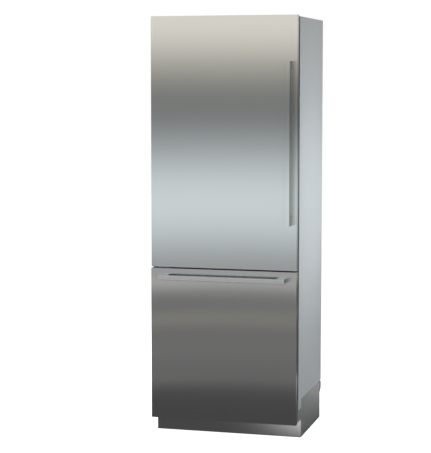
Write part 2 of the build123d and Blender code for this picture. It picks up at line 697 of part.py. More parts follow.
cover = block(centred(FREEZER_X), (COVER_Y, COVER_Y + EVAP_COVER_T), FREEZER_Z)
cover -= rod(FAN_HOLE_R, (0, COVER_Y - CUT, EVAP_FAN_Z), (0, COVER_Y + EVAP_COVER_T + CUT, EVAP_FAN_Z))
for hand in (-1, 1):
    cover -= block(
        about(hand * FREEZER_X / 2, AIR_SLOT_W), (COVER_Y - CUT, COVER_Y + EVAP_COVER_T + CUT),
        about(evap_z[0], AIR_SLOT_H),
    )
evap_pod_y = COVER_Y + FAN_POD_L
cover += fan_carrier(0, evap_pod_y, EVAP_FAN_Z, FAN_HOLE_R)
save("evaporator_cover", cover)
save("evaporator_fan", fan_rotor(0, evap_pod_y + FAN_RUN, EVAP_FAN_Z, FAN_HOLE_R - FAN_CLEAR))


# ------------------------------------------------------------------ base and machine compartment
def roller_bracket():
    """A bridge over the roller, two ears and the riveted axle."""
    reach = ROLLER_W / 2 + ROLLER_SIDE
    top = 2 * ROLLER_R + ROLLER_BRIDGE_GAP
    x = about(ROLLER_X, 2 * (reach + ROLLER_EAR_T))
    y = about(ROLLER_Y, ROLLER_EAR_L)
    bracket = block(x, y, (TRAY_TOP_Z, top + ROLLER_EAR_T))
    bracket -= block(about(ROLLER_X, 2 * reach), inset(y, -CUT), (0, top))
    return bracket + rod(AXLE_R, (x[0], ROLLER_Y, ROLLER_R), (x[1], ROLLER_Y, ROLLER_R))


def roller():
    """A nylon wheel that runs on the axle."""
    x = about(ROLLER_X, ROLLER_W)
    wheel = rod(ROLLER_R, (x[0], ROLLER_Y, ROLLER_R), (x[1], ROLLER_Y, ROLLER_R))
    return wheel - rod(AXLE_R + AXLE_FIT, (x[0] - CUT, ROLLER_Y, ROLLER_R), (x[1] + CUT, ROLLER_Y, ROLLER_R))


base_inner_x = HALF_BASE - BASE_SHEET
base_tray = block(centred(HALF_BASE), (KICK_BACK_Y, BASE_BACK_Y), (FLOOR_GAP, BASE_H))
base_tray -= block(centred(base_inner_x), (KICK_BACK_Y - CUT, BASE_BACK_Y + CUT), (0, TRAY_FLOOR_Z))
base_tray -= block(centred(base_inner_x), (KICK_BACK_Y - CUT, BASE_BACK_Y + CUT), (TRAY_TOP_Z, BASE_H + CUT))
for hand in (-1, 1):
    foot_x = hand * FOOT_X
    base_tray += rod(FOOT_BOSS_R, (foot_x, FOOT_Y, TRAY_FLOOR_Z), (foot_x, FOOT_Y, TRAY_TOP_Z + FOOT_BOSS_H))
    base_tray -= rod(
        FOOT_STEM_R + FOOT_FIT, (foot_x, FOOT_Y, 0), (foot_x, FOOT_Y, TRAY_TOP_Z + FOOT_BOSS_H + CUT)
    )
    base_tray -= block(
        about(hand * ROLLER_X, ROLLER_W + 2 * ROLLER_SIDE), about(ROLLER_Y, 2 * (ROLLER_R + ROLLER_END)),
        (0, TRAY_TOP_Z),
    )
save("base_tray", base_tray)
save("roller_brackets", *pair(roller_bracket()))
right_roller, left_roller = pair(roller())
save("roller_right", right_roller)
save("roller_left", left_roller)

pad_top = TRAY_FLOOR_Z - FOOT_PAD_GAP
foot = rod(FOOT_R, (FOOT_X, FOOT_Y, 0), (FOOT_X, FOOT_Y, pad_top))
foot += rod(FOOT_STEM_R, (FOOT_X, FOOT_Y, 0), (FOOT_X, FOOT_Y, FOOT_STEM_L))
right_foot, left_foot = pair(foot)
save("foot_right", right_foot)
save("foot_left", left_foot)

kick = block(centred(HALF_BASE), (BASE_FRONT_Y, KICK_BACK_Y), (FLOOR_GAP, BASE_H))
for i in range(KICK_SLOTS):
    slot_z = about(BASE_H - KICK_SLOT_TOP - i * KICK_SLOT_PITCH, KICK_SLOT_H)
    for hand in (-1, 1):
        slot_x = about(hand * HALF_BASE / 2, KICK_SLOT_W)
        kick -= block(slot_x, (BASE_FRONT_Y - CUT, KICK_BACK_Y + CUT), slot_z)
save("toe_kick", kick)

cover_x = (HALF_CORE - BASE_SHEET, HALF_CORE)
cover_z = (COVER_LOW, BASE_H - COVER_TOP_GAP)
save("lower_side_covers", *pair(block(cover_x, (at(COVER_FRONT_D), BASE_FRONT_Y), cover_z)))

rear_y = (BASE_BACK_Y - REAR_COVER_T, BASE_BACK_Y)
inlet_x, inlet_z = about(INLET_X, INLET_W), about(INLET_Z, INLET_H)
rear_cover = block(centred(base_inner_x), rear_y, (TRAY_TOP_Z, BASE_H))
rear_cover -= block(inlet_x, inset(rear_y, -CUT), inlet_z)
for i in range(REAR_SLOTS):
    slot_z = about(BASE_H - REAR_SLOT_TOP - i * REAR_SLOT_PITCH, REAR_SLOT_H)
    for slot_centre in (FAN_X, COMP_X + REAR_SLOT_SHIFT):
        rear_cover -= block(about(slot_centre, REAR_SLOT_W), inset(rear_y, -CUT), slot_z)
save("rear_cover", rear_cover)

inlet_y = (BASE_BACK_Y + INLET_PROUD - INLET_DEPTH, BASE_BACK_Y + INLET_PROUD)
inlet = block(inlet_x, inlet_y, inlet_z)
inlet -= block(
    inset(inlet_x, INLET_WALL), (inlet_y[0] + INLET_FLOOR, inlet_y[1] + CUT), inset(inlet_z, INLET_WALL)
)
blade_y = (inlet_y[0] + INLET_FLOOR - ROOT, inlet_y[0] + INLET_FLOOR + INLET_BLADE_L)
blade_z = (inlet_z[1] - INLET_WALL - INLET_BLADE_T - INLET_BLADE_W, inlet_z[1] - INLET_WALL - INLET_BLADE_T)
for i in (-1, 0, 1):
    inlet += block(about(INLET_X + i * INLET_BLADE_PITCH, INLET_BLADE_T), blade_y, blade_z)
save("power_inlet", inlet)

spacer_y = (BASE_BACK_Y, BACK_Y + SPACER_BEHIND)
spacer = block((HALF_BASE - SPACER_W, HALF_BASE), spacer_y, (SPACER_LOW, SPACER_LOW + SPACER_H))
spacer = chamfer(spacer.edges().filter_by(Axis.X).group_by(Axis.Y)[-1].group_by(Axis.Z)[0], SPACER_CUT)
save("rear_spacers", *pair(spacer))

comp_top = COMP_Z + COMP_H
shell = rod(COMP_R, (COMP_X, COMP_Y, COMP_Z), (COMP_X, COMP_Y, comp_top))
shell = fillet(shell.edges().group_by(Axis.Z)[-1], COMP_DOME_R)
seam_z = COMP_Z + COMP_H / 2
shell += rod(COMP_SEAM_R, (COMP_X, COMP_Y, seam_z), (COMP_X, COMP_Y, seam_z + COMP_SEAM_H))
plate_x, plate_y = about(COMP_X, COMP_PLATE), about(COMP_Y, COMP_PLATE)
shell += upright_box(plate_x, plate_y, (COMP_Z - COMP_PLATE_T, COMP_Z), GROMMET_R)
terminal_box = block(
    (COMP_X + COMP_R, COMP_X + COMP_R + BOX_W), about(COMP_Y, BOX_DEPTH), about(seam_z + BOX_H / 2, BOX_H)
)
discharge_z = TRAY_TOP_Z + PIPE_RISE
save("compressor", shell, terminal_box - rod(COMP_SEAM_R, (COMP_X, COMP_Y, 0), (COMP_X, COMP_Y, BASE_H)))
grommets = [
    rod(GROMMET_R, (x, y, TRAY_TOP_Z), (x, y, TRAY_TOP_Z + GROMMET_H))
    for x in inset(plate_x, GROMMET_IN)
    for y in inset(plate_y, GROMMET_IN)
]
save("compressor_grommets", *grommets)

cond_x = (COND_X, COND_X + COND_W)
cond_y = (COND_Y, COND_Y + COND_DEPTH)
cond_z = (TRAY_TOP_Z, TRAY_TOP_Z + COND_H)
save("condenser", finned_coil(cond_x, cond_y, cond_z, COND_FINS, COND_TUBE_ROWS))

frame_y = (FAN_Y, FAN_Y + FAN_FRAME_T)
fan_hole_r = FAN_FRAME / 2 - FAN_FRAME_WALL
fan_frame = block(about(FAN_X, FAN_FRAME), frame_y, about(FAN_Z, FAN_FRAME))
fan_frame -= rod(fan_hole_r, (FAN_X, frame_y[0] - CUT, FAN_Z), (FAN_X, frame_y[1] + CUT, FAN_Z))
pod_back = FAN_Y + FAN_POD_L
save("condenser_fan_frame", fan_frame + fan_carrier(FAN_X, pod_back, FAN_Z, fan_hole_r))
save("condenser_fan", fan_rotor(FAN_X, pod_back + FAN_RUN, FAN_Z, fan_hole_r - FAN_CLEAR))

pan_y = (BASE_BACK_Y - PAN_IN - PAN_DEPTH, BASE_BACK_Y - PAN_IN)
pan_z = (TRAY_TOP_Z, TRAY_TOP_Z + PAN_H)
save("drain_pan", open_box(about(FAN_X, PAN_W), pan_y, pan_z, PAN_WALL, PAN_CORNER_R))

pipe_start = (COMP_X, COMP_Y - COMP_SEAM_R + ROOT, discharge_z)
pipe_y = COND_Y + COND_DEPTH / 2
pipe_path = FilletPolyline(
    pipe_start, (COMP_X, pipe_y, discharge_z), (COND_X, pipe_y, discharge_z), radius=PIPE_BEND_R
)
pipe = sweep(Plane(origin=pipe_start, z_dir=(0, -1, 0)) * Circle(PIPE_R), path=pipe_path)
pipe -= rod(COMP_SEAM_R, (COMP_X, COMP_Y, 0), (COMP_X, COMP_Y, BASE_H))
save("discharge_pipe", pipe)


# ------------------------------------------------------------------ door
def handle(x, z, along):
    """Square bar and two end blocks that run back to the panel; along is 'X' or 'Z'."""
    front = DOOR_FRONT_Y - HANDLE_REACH
    long_axis = {"X": Axis.X, "Z": Axis.Z}[along]
    lengths = x if along == "X" else z
    starts = [(lengths[0], lengths[0] + HANDLE_BLOCK_L), (lengths[1] - HANDLE_BLOCK_L, lengths[1])]
    blocks = []
    for span in starts:
        limits = (span, z) if along == "X" else (x, span)
        piece = block(limits[0], (front, DOOR_FRONT_Y), limits[1])
        blocks.append(fillet(piece.edges().filter_by(long_axis), HANDLE_EDGE_R))
    middle = inset(lengths, HANDLE_BLOCK_L)
    limits = (middle, z) if along == "X" else (x, middle)
    bar = block(limits[0], (front, front + HANDLE_BAR), limits[1])
    return fillet(bar.edges().filter_by(long_axis), HANDLE_EDGE_R), blocks


door_x = (DOOR_LEFT, DOOR_RIGHT)
door_z = (DOOR_LOW, DOOR_TOP)
skin_y = (DOOR_FRONT_Y, DOOR_FRONT_Y + SKIN_T)
door_skin = block(door_x, skin_y, door_z)
door_skin += block((DOOR_RIGHT - SKIN_T, DOOR_RIGHT), (DOOR_FRONT_Y, DOOR_BACK_Y), door_z)
door_skin += block((DOOR_LEFT, DOOR_LEFT + SKIN_T), (DOOR_FRONT_Y, DOOR_BACK_Y), (LOW_CAP_Z, TOP_CAP_Z))
save("door_skin", door_skin)

bushes, sleeves = [], []
for seat_z, way in ((TOP_CAP_Z, -1), (LOW_CAP_Z, 1)):
    flange = rod(BUSH_FLANGE_R, (PIN_X, PIN_Y, seat_z), (PIN_X, PIN_Y, seat_z - way * BUSH_FLANGE_T))
    end_z = seat_z + way * (PIN_L - CAP_CLEAR + END_PLAY)
    sleeve = rod(BUSH_R, (PIN_X, PIN_Y, seat_z), (PIN_X, PIN_Y, end_z + way * BUSH_WALL))
    bore = rod(PIN_R + PIN_FIT, (PIN_X, PIN_Y, seat_z - way * CAP_CLEAR), (PIN_X, PIN_Y, end_z))
    sleeves.append(sleeve)
    bushes.append((flange + sleeve) - bore)
save("hinge_bushes", *bushes)

fill_x = inset(door_x, SKIN_T)
fill_y = (DOOR_FRONT_Y + SKIN_T, DOOR_BACK_Y - LINER_T)
caps = [
    block(fill_x, fill_y, (TOP_CAP_Z - CAP_T, TOP_CAP_Z)),
    block(fill_x, fill_y, (LOW_CAP_Z, LOW_CAP_Z + CAP_T)),
]
save("door_end_caps", *[cap - sleeves[0] - sleeves[1] for cap in caps])


def plug(half_x, z, from_y, drawn_in):
    """The raised inner face of a front, drawn in by the liner's thickness or not."""
    return block(centred(half_x - drawn_in), (from_y, PLUG_Y - drawn_in), inset(z, drawn_in))


def bin_ridges(drawn_in):
    """The two upright ridges on the door's inner face that carry the bins."""
    x = (BIN_X + drawn_in, PLUG_FRIDGE_X - drawn_in)
    y = (PLUG_Y - LINER_T - ROOT, RIDGE_Y - drawn_in)
    return pair(block(x, y, inset(RIDGE_Z, drawn_in)))


door_foam = block(fill_x, fill_y, (LOW_CAP_Z + CAP_T, TOP_CAP_Z - CAP_T))
door_foam += plug(PLUG_FRIDGE_X, PLUG_FRIDGE_Z, fill_y[1], LINER_T)
door_liner = block(fill_x, (fill_y[1], DOOR_BACK_Y), (LOW_CAP_Z, TOP_CAP_Z))
door_liner += plug(PLUG_FRIDGE_X, PLUG_FRIDGE_Z, fill_y[1], 0)
for inner_ridge, outer_ridge in zip(bin_ridges(LINER_T), bin_ridges(0)):
    door_foam += inner_ridge
    door_liner += outer_ridge
door_liner -= door_foam
save("door_foam", door_foam - sleeves[0] - sleeves[1])
save("door_liner", door_liner)


def seal(x, z):
    """A ring seal: a narrow foot on the door and a wider bulb towards the cabinet."""
    foot_y = (DOOR_BACK_Y, DOOR_BACK_Y + SEAL_FOOT_T)
    bulb_y = (foot_y[1], FACE_Y - SEAL_REST)
    ring = None
    for y, lip in ((foot_y, SEAL_LIP), (bulb_y, 0)):
        outer = facing_box(inset(x, lip), y, inset(z, lip), SEAL_CORNER_R)
        hole = SEAL_W - lip
        part = outer - facing_box(inset(x, hole), inset(y, -CUT), inset(z, hole), SEAL_HOLE_R)
        ring = part if ring is None else ring + part
    return ring


door_seal_z = (DOOR_LOW + SEAL_INSET, DOOR_TOP - DOOR_RISE - SEAL_INSET)
save("door_seal", seal(inset(door_x, SEAL_INSET), door_seal_z))

handle_x = about(DOOR_RIGHT - DOOR_HANDLE_EDGE, HANDLE_BAR)
handle_z = about((DOOR_LOW + DOOR_TOP) / 2, DOOR_HANDLE_L)
door_bar, door_blocks = handle(handle_x, handle_z, "Z")
save("door_handle_bar", door_bar)
save("door_handle_blocks", *door_blocks)

bin_y = (PLUG_Y, PLUG_Y + BIN_DEPTH)
bins = [open_box(centred(BIN_X), bin_y, (z, z + BIN_H), BIN_WALL, BIN_CORNER_R) for z in BIN_Z]
save("door_bins", *bins)

# ------------------------------------------------------------------ freezer drawer
drawer_x = centred(HALF_PANEL)
drawer_z = (DRAWER_LOW, DRAWER_TOP)
drawer_fill_x = inset(drawer_x, SKIN_T)
drawer_fill_z = inset(drawer_z, SKIN_T)
drawer_skin = block(drawer_x, (DOOR_FRONT_Y, DOOR_BACK_Y), drawer_z)
drawer_skin -= block(drawer_fill_x, (DOOR_FRONT_Y + SKIN_T, DOOR_BACK_Y + CUT), drawer_fill_z)
save("drawer_skin", drawer_skin)
drawer_foam = block(drawer_fill_x, fill_y, drawer_fill_z)
drawer_foam += plug(PLUG_FREEZER_X, PLUG_FREEZER_Z, fill_y[1], LINER_T)
drawer_liner = block(drawer_fill_x, (fill_y[1], DOOR_BACK_Y), drawer_fill_z)
drawer_liner += plug(PLUG_FREEZER_X, PLUG_FREEZER_Z, fill_y[1], 0)
save("drawer_foam", drawer_foam)
save("drawer_liner", drawer_liner - drawer_foam)
drawer_seal_z = (BASE_H + SEAL_SILL, DRAWER_TOP - SEAL_INSET)
save("drawer_seal", seal(inset(drawer_x, SEAL_INSET), drawer_seal_z))

drawer_handle_z = about(DRAWER_TOP - DRAWER_HANDLE_DROP, HANDLE_BAR)
drawer_bar, drawer_blocks = handle(centred(HALF_PANEL - DRAWER_HANDLE_END), drawer_handle_z, "X")
save("drawer_handle_bar", drawer_bar)
save("drawer_handle_blocks", *drawer_blocks)


# ------------------------------------------------------------------ freezer slides, basket and tray
def channel(web_x, tip_x, half_h, y):
    """A C-section rail: a web and two flanges towards tip_x."""
    outward = 1 if web_x > tip_x else -1
    x = sorted((web_x, tip_x))
    z = about(SLIDE_Z, 2 * half_h)
    rail = block(x, y, z)
    hollow_x = sorted((web_x - outward * SLIDE_T, tip_x - outward * CUT))
    return rail - block(hollow_x, inset(y, -CUT), inset(z, SLIDE_T))


slide_y = (at(SLIDE_START_D), COVER_Y - SLIDE_END_CLEAR)
middle_y = (slide_y[0], slide_y[1] - SLIDE_MIDDLE_SHORT)
middle_web_x = FREEZER_X - SLIDE_STEP
inner_web_x = SLIDE_TIP_X
save("slide_fixed", *pair(channel(FREEZER_X, SLIDE_TIP_X, SLIDE_HALF_H, slide_y)))
middle_half_h = SLIDE_HALF_H - SLIDE_T - SLIDE_RUN
save("slide_middle", *pair(channel(middle_web_x, SLIDE_TIP_X, middle_half_h, middle_y)))
inner_tip_x = middle_web_x - SLIDE_T - SLIDE_RUN
slide_inner = channel(inner_web_x, inner_tip_x, INNER_HALF_H, (PLUG_Y + BASKET_BRACKET_T, middle_y[1]))
slide_inner += block(
    (BASKET_X, inner_web_x), (PLUG_Y + BASKET_BRACKET_T, middle_y[1]),
    (BASKET_RIM_Z - SLIDE_T, BASKET_RIM_Z),
)
slide_inner += block(
    (PLUG_FREEZER_X - BASKET_BRACKET_W, inner_web_x + SLIDE_T), (PLUG_Y, PLUG_Y + BASKET_BRACKET_T),
    about(SLIDE_Z, BASKET_BRACKET_H),
)
save("slide_inner", *pair(slide_inner))

basket_y = (at(BASKET_START_D), COVER_Y - BASKET_BACK_CLEAR)
basket_wall_x = BASKET_X - BASKET_SIDE_RUN
basket = open_box(
    centred(basket_wall_x), basket_y,
    (FREEZER_Z[0] + BASKET_FLOOR_CLEAR, BASKET_RIM_Z + BASKET_RIM_T), BASKET_WALL, BASKET_CORNER_R,
)
for rim in pair(
    block(
        (basket_wall_x - BASKET_WALL, BASKET_RIM_X), inset(basket_y, BASKET_CORNER_R),
        (BASKET_RIM_Z, BASKET_RIM_Z + BASKET_RIM_T),
    )
):
    basket += rim
save("freezer_basket", basket)

tray_y = (at(TRAY_START_D), COVER_Y - TRAY_BACK_CLEAR)
tray_top = TRAY_Z + TRAY_H
freezer_tray = open_box(centred(TRAY_X), tray_y, (TRAY_Z, tray_top), TRAY_WALL, TRAY_CORNER_R)
for rim in pair(
    block(
        (TRAY_X - TRAY_WALL, FREEZER_X - RUNNER_W + TRAY_RIM_W), inset(tray_y, TRAY_CORNER_R),
        (tray_top - TRAY_RIM_T, tray_top),
    )
):
    freezer_tray += rim
save("freezer_tray", freezer_tray)
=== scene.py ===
"""A bottom freezer refrigerator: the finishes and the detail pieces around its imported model.

Lengths whose names end in _mm or _MM are millimetres, all other lengths are metres.
"""

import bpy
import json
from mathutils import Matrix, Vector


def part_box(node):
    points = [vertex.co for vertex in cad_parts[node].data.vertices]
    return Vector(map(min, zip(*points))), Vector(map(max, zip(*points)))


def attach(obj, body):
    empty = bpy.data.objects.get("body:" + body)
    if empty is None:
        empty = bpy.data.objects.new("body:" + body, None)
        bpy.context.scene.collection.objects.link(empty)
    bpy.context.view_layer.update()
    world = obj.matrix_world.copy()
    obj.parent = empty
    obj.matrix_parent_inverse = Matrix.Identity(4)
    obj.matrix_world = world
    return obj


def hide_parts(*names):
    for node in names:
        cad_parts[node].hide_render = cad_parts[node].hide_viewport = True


bl_info = {
    "name": "Bottom Freezer Refrigerator",
    "version": (1, 0, 0),
    "blender": (4, 5, 0),
    "location": "View3D > Sidebar > Refrigerator",
    "description": "Finishes and detail pieces of a refrigerator with a freezer drawer",
    "category": "Object",
}

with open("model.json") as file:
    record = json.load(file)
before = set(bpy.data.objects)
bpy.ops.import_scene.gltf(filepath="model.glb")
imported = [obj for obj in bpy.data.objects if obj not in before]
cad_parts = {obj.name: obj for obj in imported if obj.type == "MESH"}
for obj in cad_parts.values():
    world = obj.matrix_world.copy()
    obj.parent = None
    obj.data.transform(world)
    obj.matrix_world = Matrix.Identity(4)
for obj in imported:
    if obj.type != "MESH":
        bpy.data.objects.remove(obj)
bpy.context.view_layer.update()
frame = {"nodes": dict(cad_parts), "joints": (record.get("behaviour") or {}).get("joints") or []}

import json
import math

import bmesh
import bpy
from mathutils import Matrix, Vector

MM = 0.001
WELD_GAP = 0.00001
SMOOTH_ANGLE = math.radians(35)
# Solids are put in order by their corners in metres, rounded to so many digits.
SORT_DIGITS = 4
# Steps of a corner, of the quarter round at an edge, and of a full turn.
CORNER_STEPS = 6
EDGE_STEPS = 4
TURN_STEPS = 48
# The part of a pattern's values over which a colour or a roughness runs from one end to the other.
PATTERN_LOW = 0.3
PATTERN_HIGH = 0.7
# How far a face has turned to the side where the painted shade on the steel's sides begins, and where it is
# full.
SIDE_SHADE_START = 0.5
SIDE_SHADE_END = 0.9
# How much rougher or smoother than the rest of the steel a brush streak is.
STREAK_SPREAD = 0.02
# A lip starts this many times its reach below the mouth, and is full at that many.
LIP_START = 2.2
LIP_FULL = 1.4
# A thin wall's rounding as a share of its thickness, and half the width of a cross recess's arm as a share
# of the cross's reach.
RIM_SHARE = 0.3
CROSS_ARM = 0.26
# No division is by a smaller sine than this.
LEAST_SINE = 0.01


# Materials


def linear(code):
    """The linear colour of an sRGB hex value."""
    parts = [int(code[i:i + 2], 16) / 255 for i in (1, 3, 5)]
    return [p / 12.92 if p <= 0.04045 else ((p + 0.055) / 1.055) ** 2.4 for p in parts] + [1.0]


def add(tree, kind, links=None, values=None, **settings):
    """Adds a node with its settings, its sockets' values and what feeds its sockets."""
    made = tree.nodes.new(kind)
    for name, value in settings.items():
        setattr(made, name, value)
    for name, value in (values or {}).items():
        made.inputs[name].default_value = value
    for name, source in (links or {}).items():
        tree.links.new(source, made.inputs[name])
    return made


def surface(name, colour, values):
    """A material of a hex or a linear colour, whose even values stand on its shader's own sockets."""
    made = bpy.data.materials.new(name)
    made.use_nodes = True
    shader = made.node_tree.nodes["Principled BSDF"]
    shader.inputs["Base Color"].default_value = linear(colour) if isinstance(colour, str) else [*colour, 1.0]
    for socket, value in values.items():
        shader.inputs[socket].default_value = value
    return made


def pattern(made, size_mm, stretch=(1, 1, 1), detail=3, kind="ShaderNodeTexNoise", **settings):
    """A random pattern over a material, its cells that many millimetres wide, stretched along each axis."""
    tree = made.node_tree
    place = add(tree, "ShaderNodeTexCoord")
    scale = [1 / (size_mm * MM * s) for s in stretch]
    fitted = add(tree, "ShaderNodeMapping", {"Vector": place.outputs["Object"]}, {"Scale": scale})
    values = {"Scale": 1.0}
    if kind == "ShaderNodeTexNoise":
        values["Detail"] = detail
    cells = add(tree, kind, {"Vector": fitted.outputs["Vector"]}, values, **settings)
    return cells.outputs[0]


def coloured(made, source, stops):
    """The base colour follows a value, between two stops of that value and a colour."""
    tree = made.node_tree
    ramp = add(tree, "ShaderNodeValToRGB", {"Fac": source})
    for element, (position, colour) in zip(ramp.color_ramp.elements, stops):
        element.position = position
        element.color = colour
    tree.links.new(ramp.outputs["Color"], tree.nodes["Principled BSDF"].inputs["Base Color"])


def tone(made, source, dark, light, low=PATTERN_LOW, high=PATTERN_HIGH):
    """The base colour runs from dark to light with a pattern."""
    coloured(made, source, ((low, linear(dark)), (high, linear(light))))


def roughness(made, source, smooth, rough):
    """The roughness runs from smooth to rough with a pattern."""
    tree = made.node_tree
    span = add(tree, "ShaderNodeMapRange", {"Value": source},
               {"From Min": PATTERN_LOW, "From Max": PATTERN_HIGH, "To Min": smooth, "To Max": rough})
    tree.links.new(span.outputs["Result"], tree.nodes["Principled BSDF"].inputs["Roughness"])


def relief(made, source, depth_mm):
    """A pattern's relief, that many millimetres deep."""
    tree = made.node_tree
    bump = add(tree, "ShaderNodeBump", {"Height": source}, {"Distance": depth_mm * MM, "Strength": 1.0})
    tree.links.new(bump.outputs["Normal"], tree.nodes["Principled BSDF"].inputs["Normal"])


def brushed(made, axis):
    """Turns the brushing's reflections round an axis."""
    tree = made.node_tree
    tangent = add(tree, "ShaderNodeTangent", direction_type="RADIAL", axis=axis)
    tree.links.new(tangent.outputs["Tangent"], tree.nodes["Principled BSDF"].inputs["Tangent"])


def brushed_stainless(name, grain, axis, painted_highlight=1.0):
    """Stainless steel 304, brushed along its length: soft bands across the grain, and painted shade on the
    faces turned to the left or right.

    Painted highlight brightens the bare colour: a brighter copy of the steel that stands in for a stronger
    reflection.
    """
    look = bpy.context.scene.refrigerator_steel
    values = {"Metallic": 1.0, "Roughness": look.roughness, "Anisotropic": look.anisotropy}
    made = surface(name, look.colour, values)
    tree = made.node_tree
    # Painted shade: faces turned to the left or right are darkened towards the side colour.
    facing = add(tree, "ShaderNodeTexCoord").outputs["Normal"]
    across = add(tree, "ShaderNodeSeparateXYZ", {0: facing}).outputs["X"]
    side = add(tree, "ShaderNodeMath", {0: across}, operation="ABSOLUTE").outputs[0]
    # Painted highlight: the bare colour times the given factor.
    bare = [*(c * painted_highlight for c in look.colour), 1.0]
    coloured(made, side, ((SIDE_SHADE_START, bare), (SIDE_SHADE_END, [*look.side_shade_colour, 1.0])))
    brushed(made, axis)
    # A real brush line is about 0.05 mm wide. It is drawn 3 mm wide, because finer doesn't show.
    streaks = pattern(made, look.grain_mm, stretch=grain, detail=4)
    roughness(made, streaks, look.roughness - STREAK_SPREAD, look.roughness + STREAK_SPREAD)
    relief(made, streaks, depth_mm=0.004)
    return made


def cabinet_paint():
    """Galvanised steel, powder coated blue-grey: an even satin sheet with the coat's faint orange peel."""
    look = bpy.context.scene.refrigerator_cabinet
    values = {"Roughness": 0.5, "IOR": 1.5, "Specular IOR Level": 0.3}
    made = surface("powder_coated_steel", look.colour, values)
    # Orange peel has waves of 1 to 3 mm. They are drawn 4 mm wide to show.
    peel = pattern(made, size_mm=4.0, detail=2)
    roughness(made, peel, smooth=0.47, rough=0.53)
    relief(made, peel, depth_mm=0.01)
    return made


def grey_coat(name, dark, light, rough):
    """Steel sheet with a grey coat: an even satin sheet with the coat's faint orange peel."""
    made = surface(name, light, {"Roughness": rough, "Specular IOR Level": 0.5})
    peel = pattern(made, size_mm=4.0, detail=2)
    tone(made, peel, dark, light)
    roughness(made, peel, rough - 0.03, rough + 0.03)
    relief(made, peel, depth_mm=0.01)
    return made


def kick_steel():
    """Stainless steel 430, brushed: a dim strip that mirrors what is near the floor."""
    made = surface("brushed_kick_steel", "#C8C8C8", {"Metallic": 1.0, "Roughness": 0.3, "Anisotropic": 0.6})
    brushed(made, "Z")
    streaks = pattern(made, size_mm=3.0, stretch=(1, 1, 60), detail=4)
    roughness(made, streaks, smooth=0.28, rough=0.33)
    return made


def zinc_plate():
    """Steel, zinc plated and passivated: a cool grey metal with a faint crystal bloom."""
    made = surface("zinc_plated_steel", "#BFC2C6", {"Metallic": 1.0, "Roughness": 0.35})
    bloom = pattern(made, size_mm=6.0, kind="ShaderNodeTexVoronoi", feature="F1")
    tone(made, bloom, "#B2B6BC", "#CBCDCE", low=0.1, high=0.9)
    grit = pattern(made, size_mm=1.5)
    roughness(made, grit, smooth=0.3, rough=0.42)
    return made


def insulation_foam():
    """Polyurethane foam, blown in place: a matt cream skin with fine open cells."""
    made = surface("polyurethane_foam", "#E4D9A8", {"Roughness": 0.9, "Specular IOR Level": 0.2})
    cells = pattern(made, size_mm=3.0, kind="ShaderNodeTexVoronoi", feature="F1")
    tone(made, cells, "#CDBE86", "#EBE2B8", low=0.0, high=0.8)
    relief(made, cells, depth_mm=0.5)
    return made


def liner_styrene():
    """High impact polystyrene, thermoformed: a white sheet with a soft gloss and a faint pull."""
    made = surface("thermoformed_polystyrene", "#F1F2F2", {"Roughness": 0.32, "IOR": 1.59})
    pull = pattern(made, size_mm=45.0, detail=2)
    tone(made, pull, "#EEF0F0", "#F4F5F5")
    # The mould's grain is about 0.3 mm. It is drawn 1.5 mm wide.
    roughness(made, pattern(made, size_mm=1.5, detail=2), smooth=0.28, rough=0.4)
    return made


def seal_vinyl():
    """Soft PVC, extruded: a matt grey gasket with dust in its folds."""
    made = surface("extruded_soft_pvc", "#77797B", {"Roughness": 0.62, "Sheen Weight": 0.1})
    dust = pattern(made, size_mm=12.0)
    tone(made, dust, "#6F7173", "#7E8082")
    roughness(made, dust, smooth=0.55, rough=0.7)
    return made


def shelf_glass():
    """Soda-lime glass, tempered: clear, with a green tint that gathers at the cut edges."""
    values = {"Roughness": 0.02, "IOR": 1.52, "Transmission Weight": 1.0}
    made = surface("tempered_soda_lime_glass", "#E6F2EC", values)
    smear = pattern(made, size_mm=60.0, detail=4)
    roughness(made, smear, smooth=0.01, rough=0.04)
    return made


def anodised_trim():
    """Aluminium extrusion, anodised: a satin silver edge with lengthwise draw lines."""
    made = surface("anodised_aluminium", "#D5D7D9", {"Metallic": 1.0, "Roughness": 0.32, "Anisotropic": 0.4})
    lines = pattern(made, size_mm=2.0, stretch=(60, 1, 1), detail=2)
    tone(made, lines, "#CDCFD2", "#DCDEDF")
    roughness(made, lines, smooth=0.28, rough=0.37)
    return made


def clear_styrene():
    """Styrene acrylonitrile, injection moulded: water clear walls, bright at the rims."""
    values = {"Roughness": 0.04, "IOR": 1.57, "Transmission Weight": 0.94}
    made = surface("clear_san_plastic", "#EEF3F5", values)
    flow = pattern(made, size_mm=30.0, detail=2)
    roughness(made, flow, smooth=0.03, rough=0.09)
    return made


def frosted_styrene():
    """Polystyrene, injection moulded and frosted: milky freezer walls that glow where light crosses them."""
    values = {"Roughness": 0.38, "IOR": 1.5, "Transmission Weight": 0.6}
    made = surface("frosted_polystyrene", "#E3EBEF", values)
    frost = pattern(made, size_mm=2.0)
    roughness(made, frost, smooth=0.32, rough=0.46)
    relief(made, frost, depth_mm=0.02)
    return made


def moulded(name, dark, light, rough):
    """Injection moulded plastic with a spark-eroded grain, drawn 1.5 mm wide where the real one is 0.2 mm."""
    made = surface(name, light, {"Roughness": rough})
    grain = pattern(made, size_mm=1.5, detail=2)
    tone(made, grain, dark, light)
    roughness(made, grain, rough - 0.05, rough + 0.07)
    relief(made, grain, depth_mm=0.02)
    return made


def light_diffuser():
    """Opal acrylic over a row of lamps: an even milky white."""
    values = {"Roughness": 0.4, "Subsurface Weight": 0.3, "Emission Strength": 0.25,
              "Emission Color": linear("#FFF8EC")}
    made = surface("opal_acrylic", "#F7F7F2", values)
    haze = pattern(made, size_mm=20.0, detail=1)
    roughness(made, haze, smooth=0.36, rough=0.44)
    return made


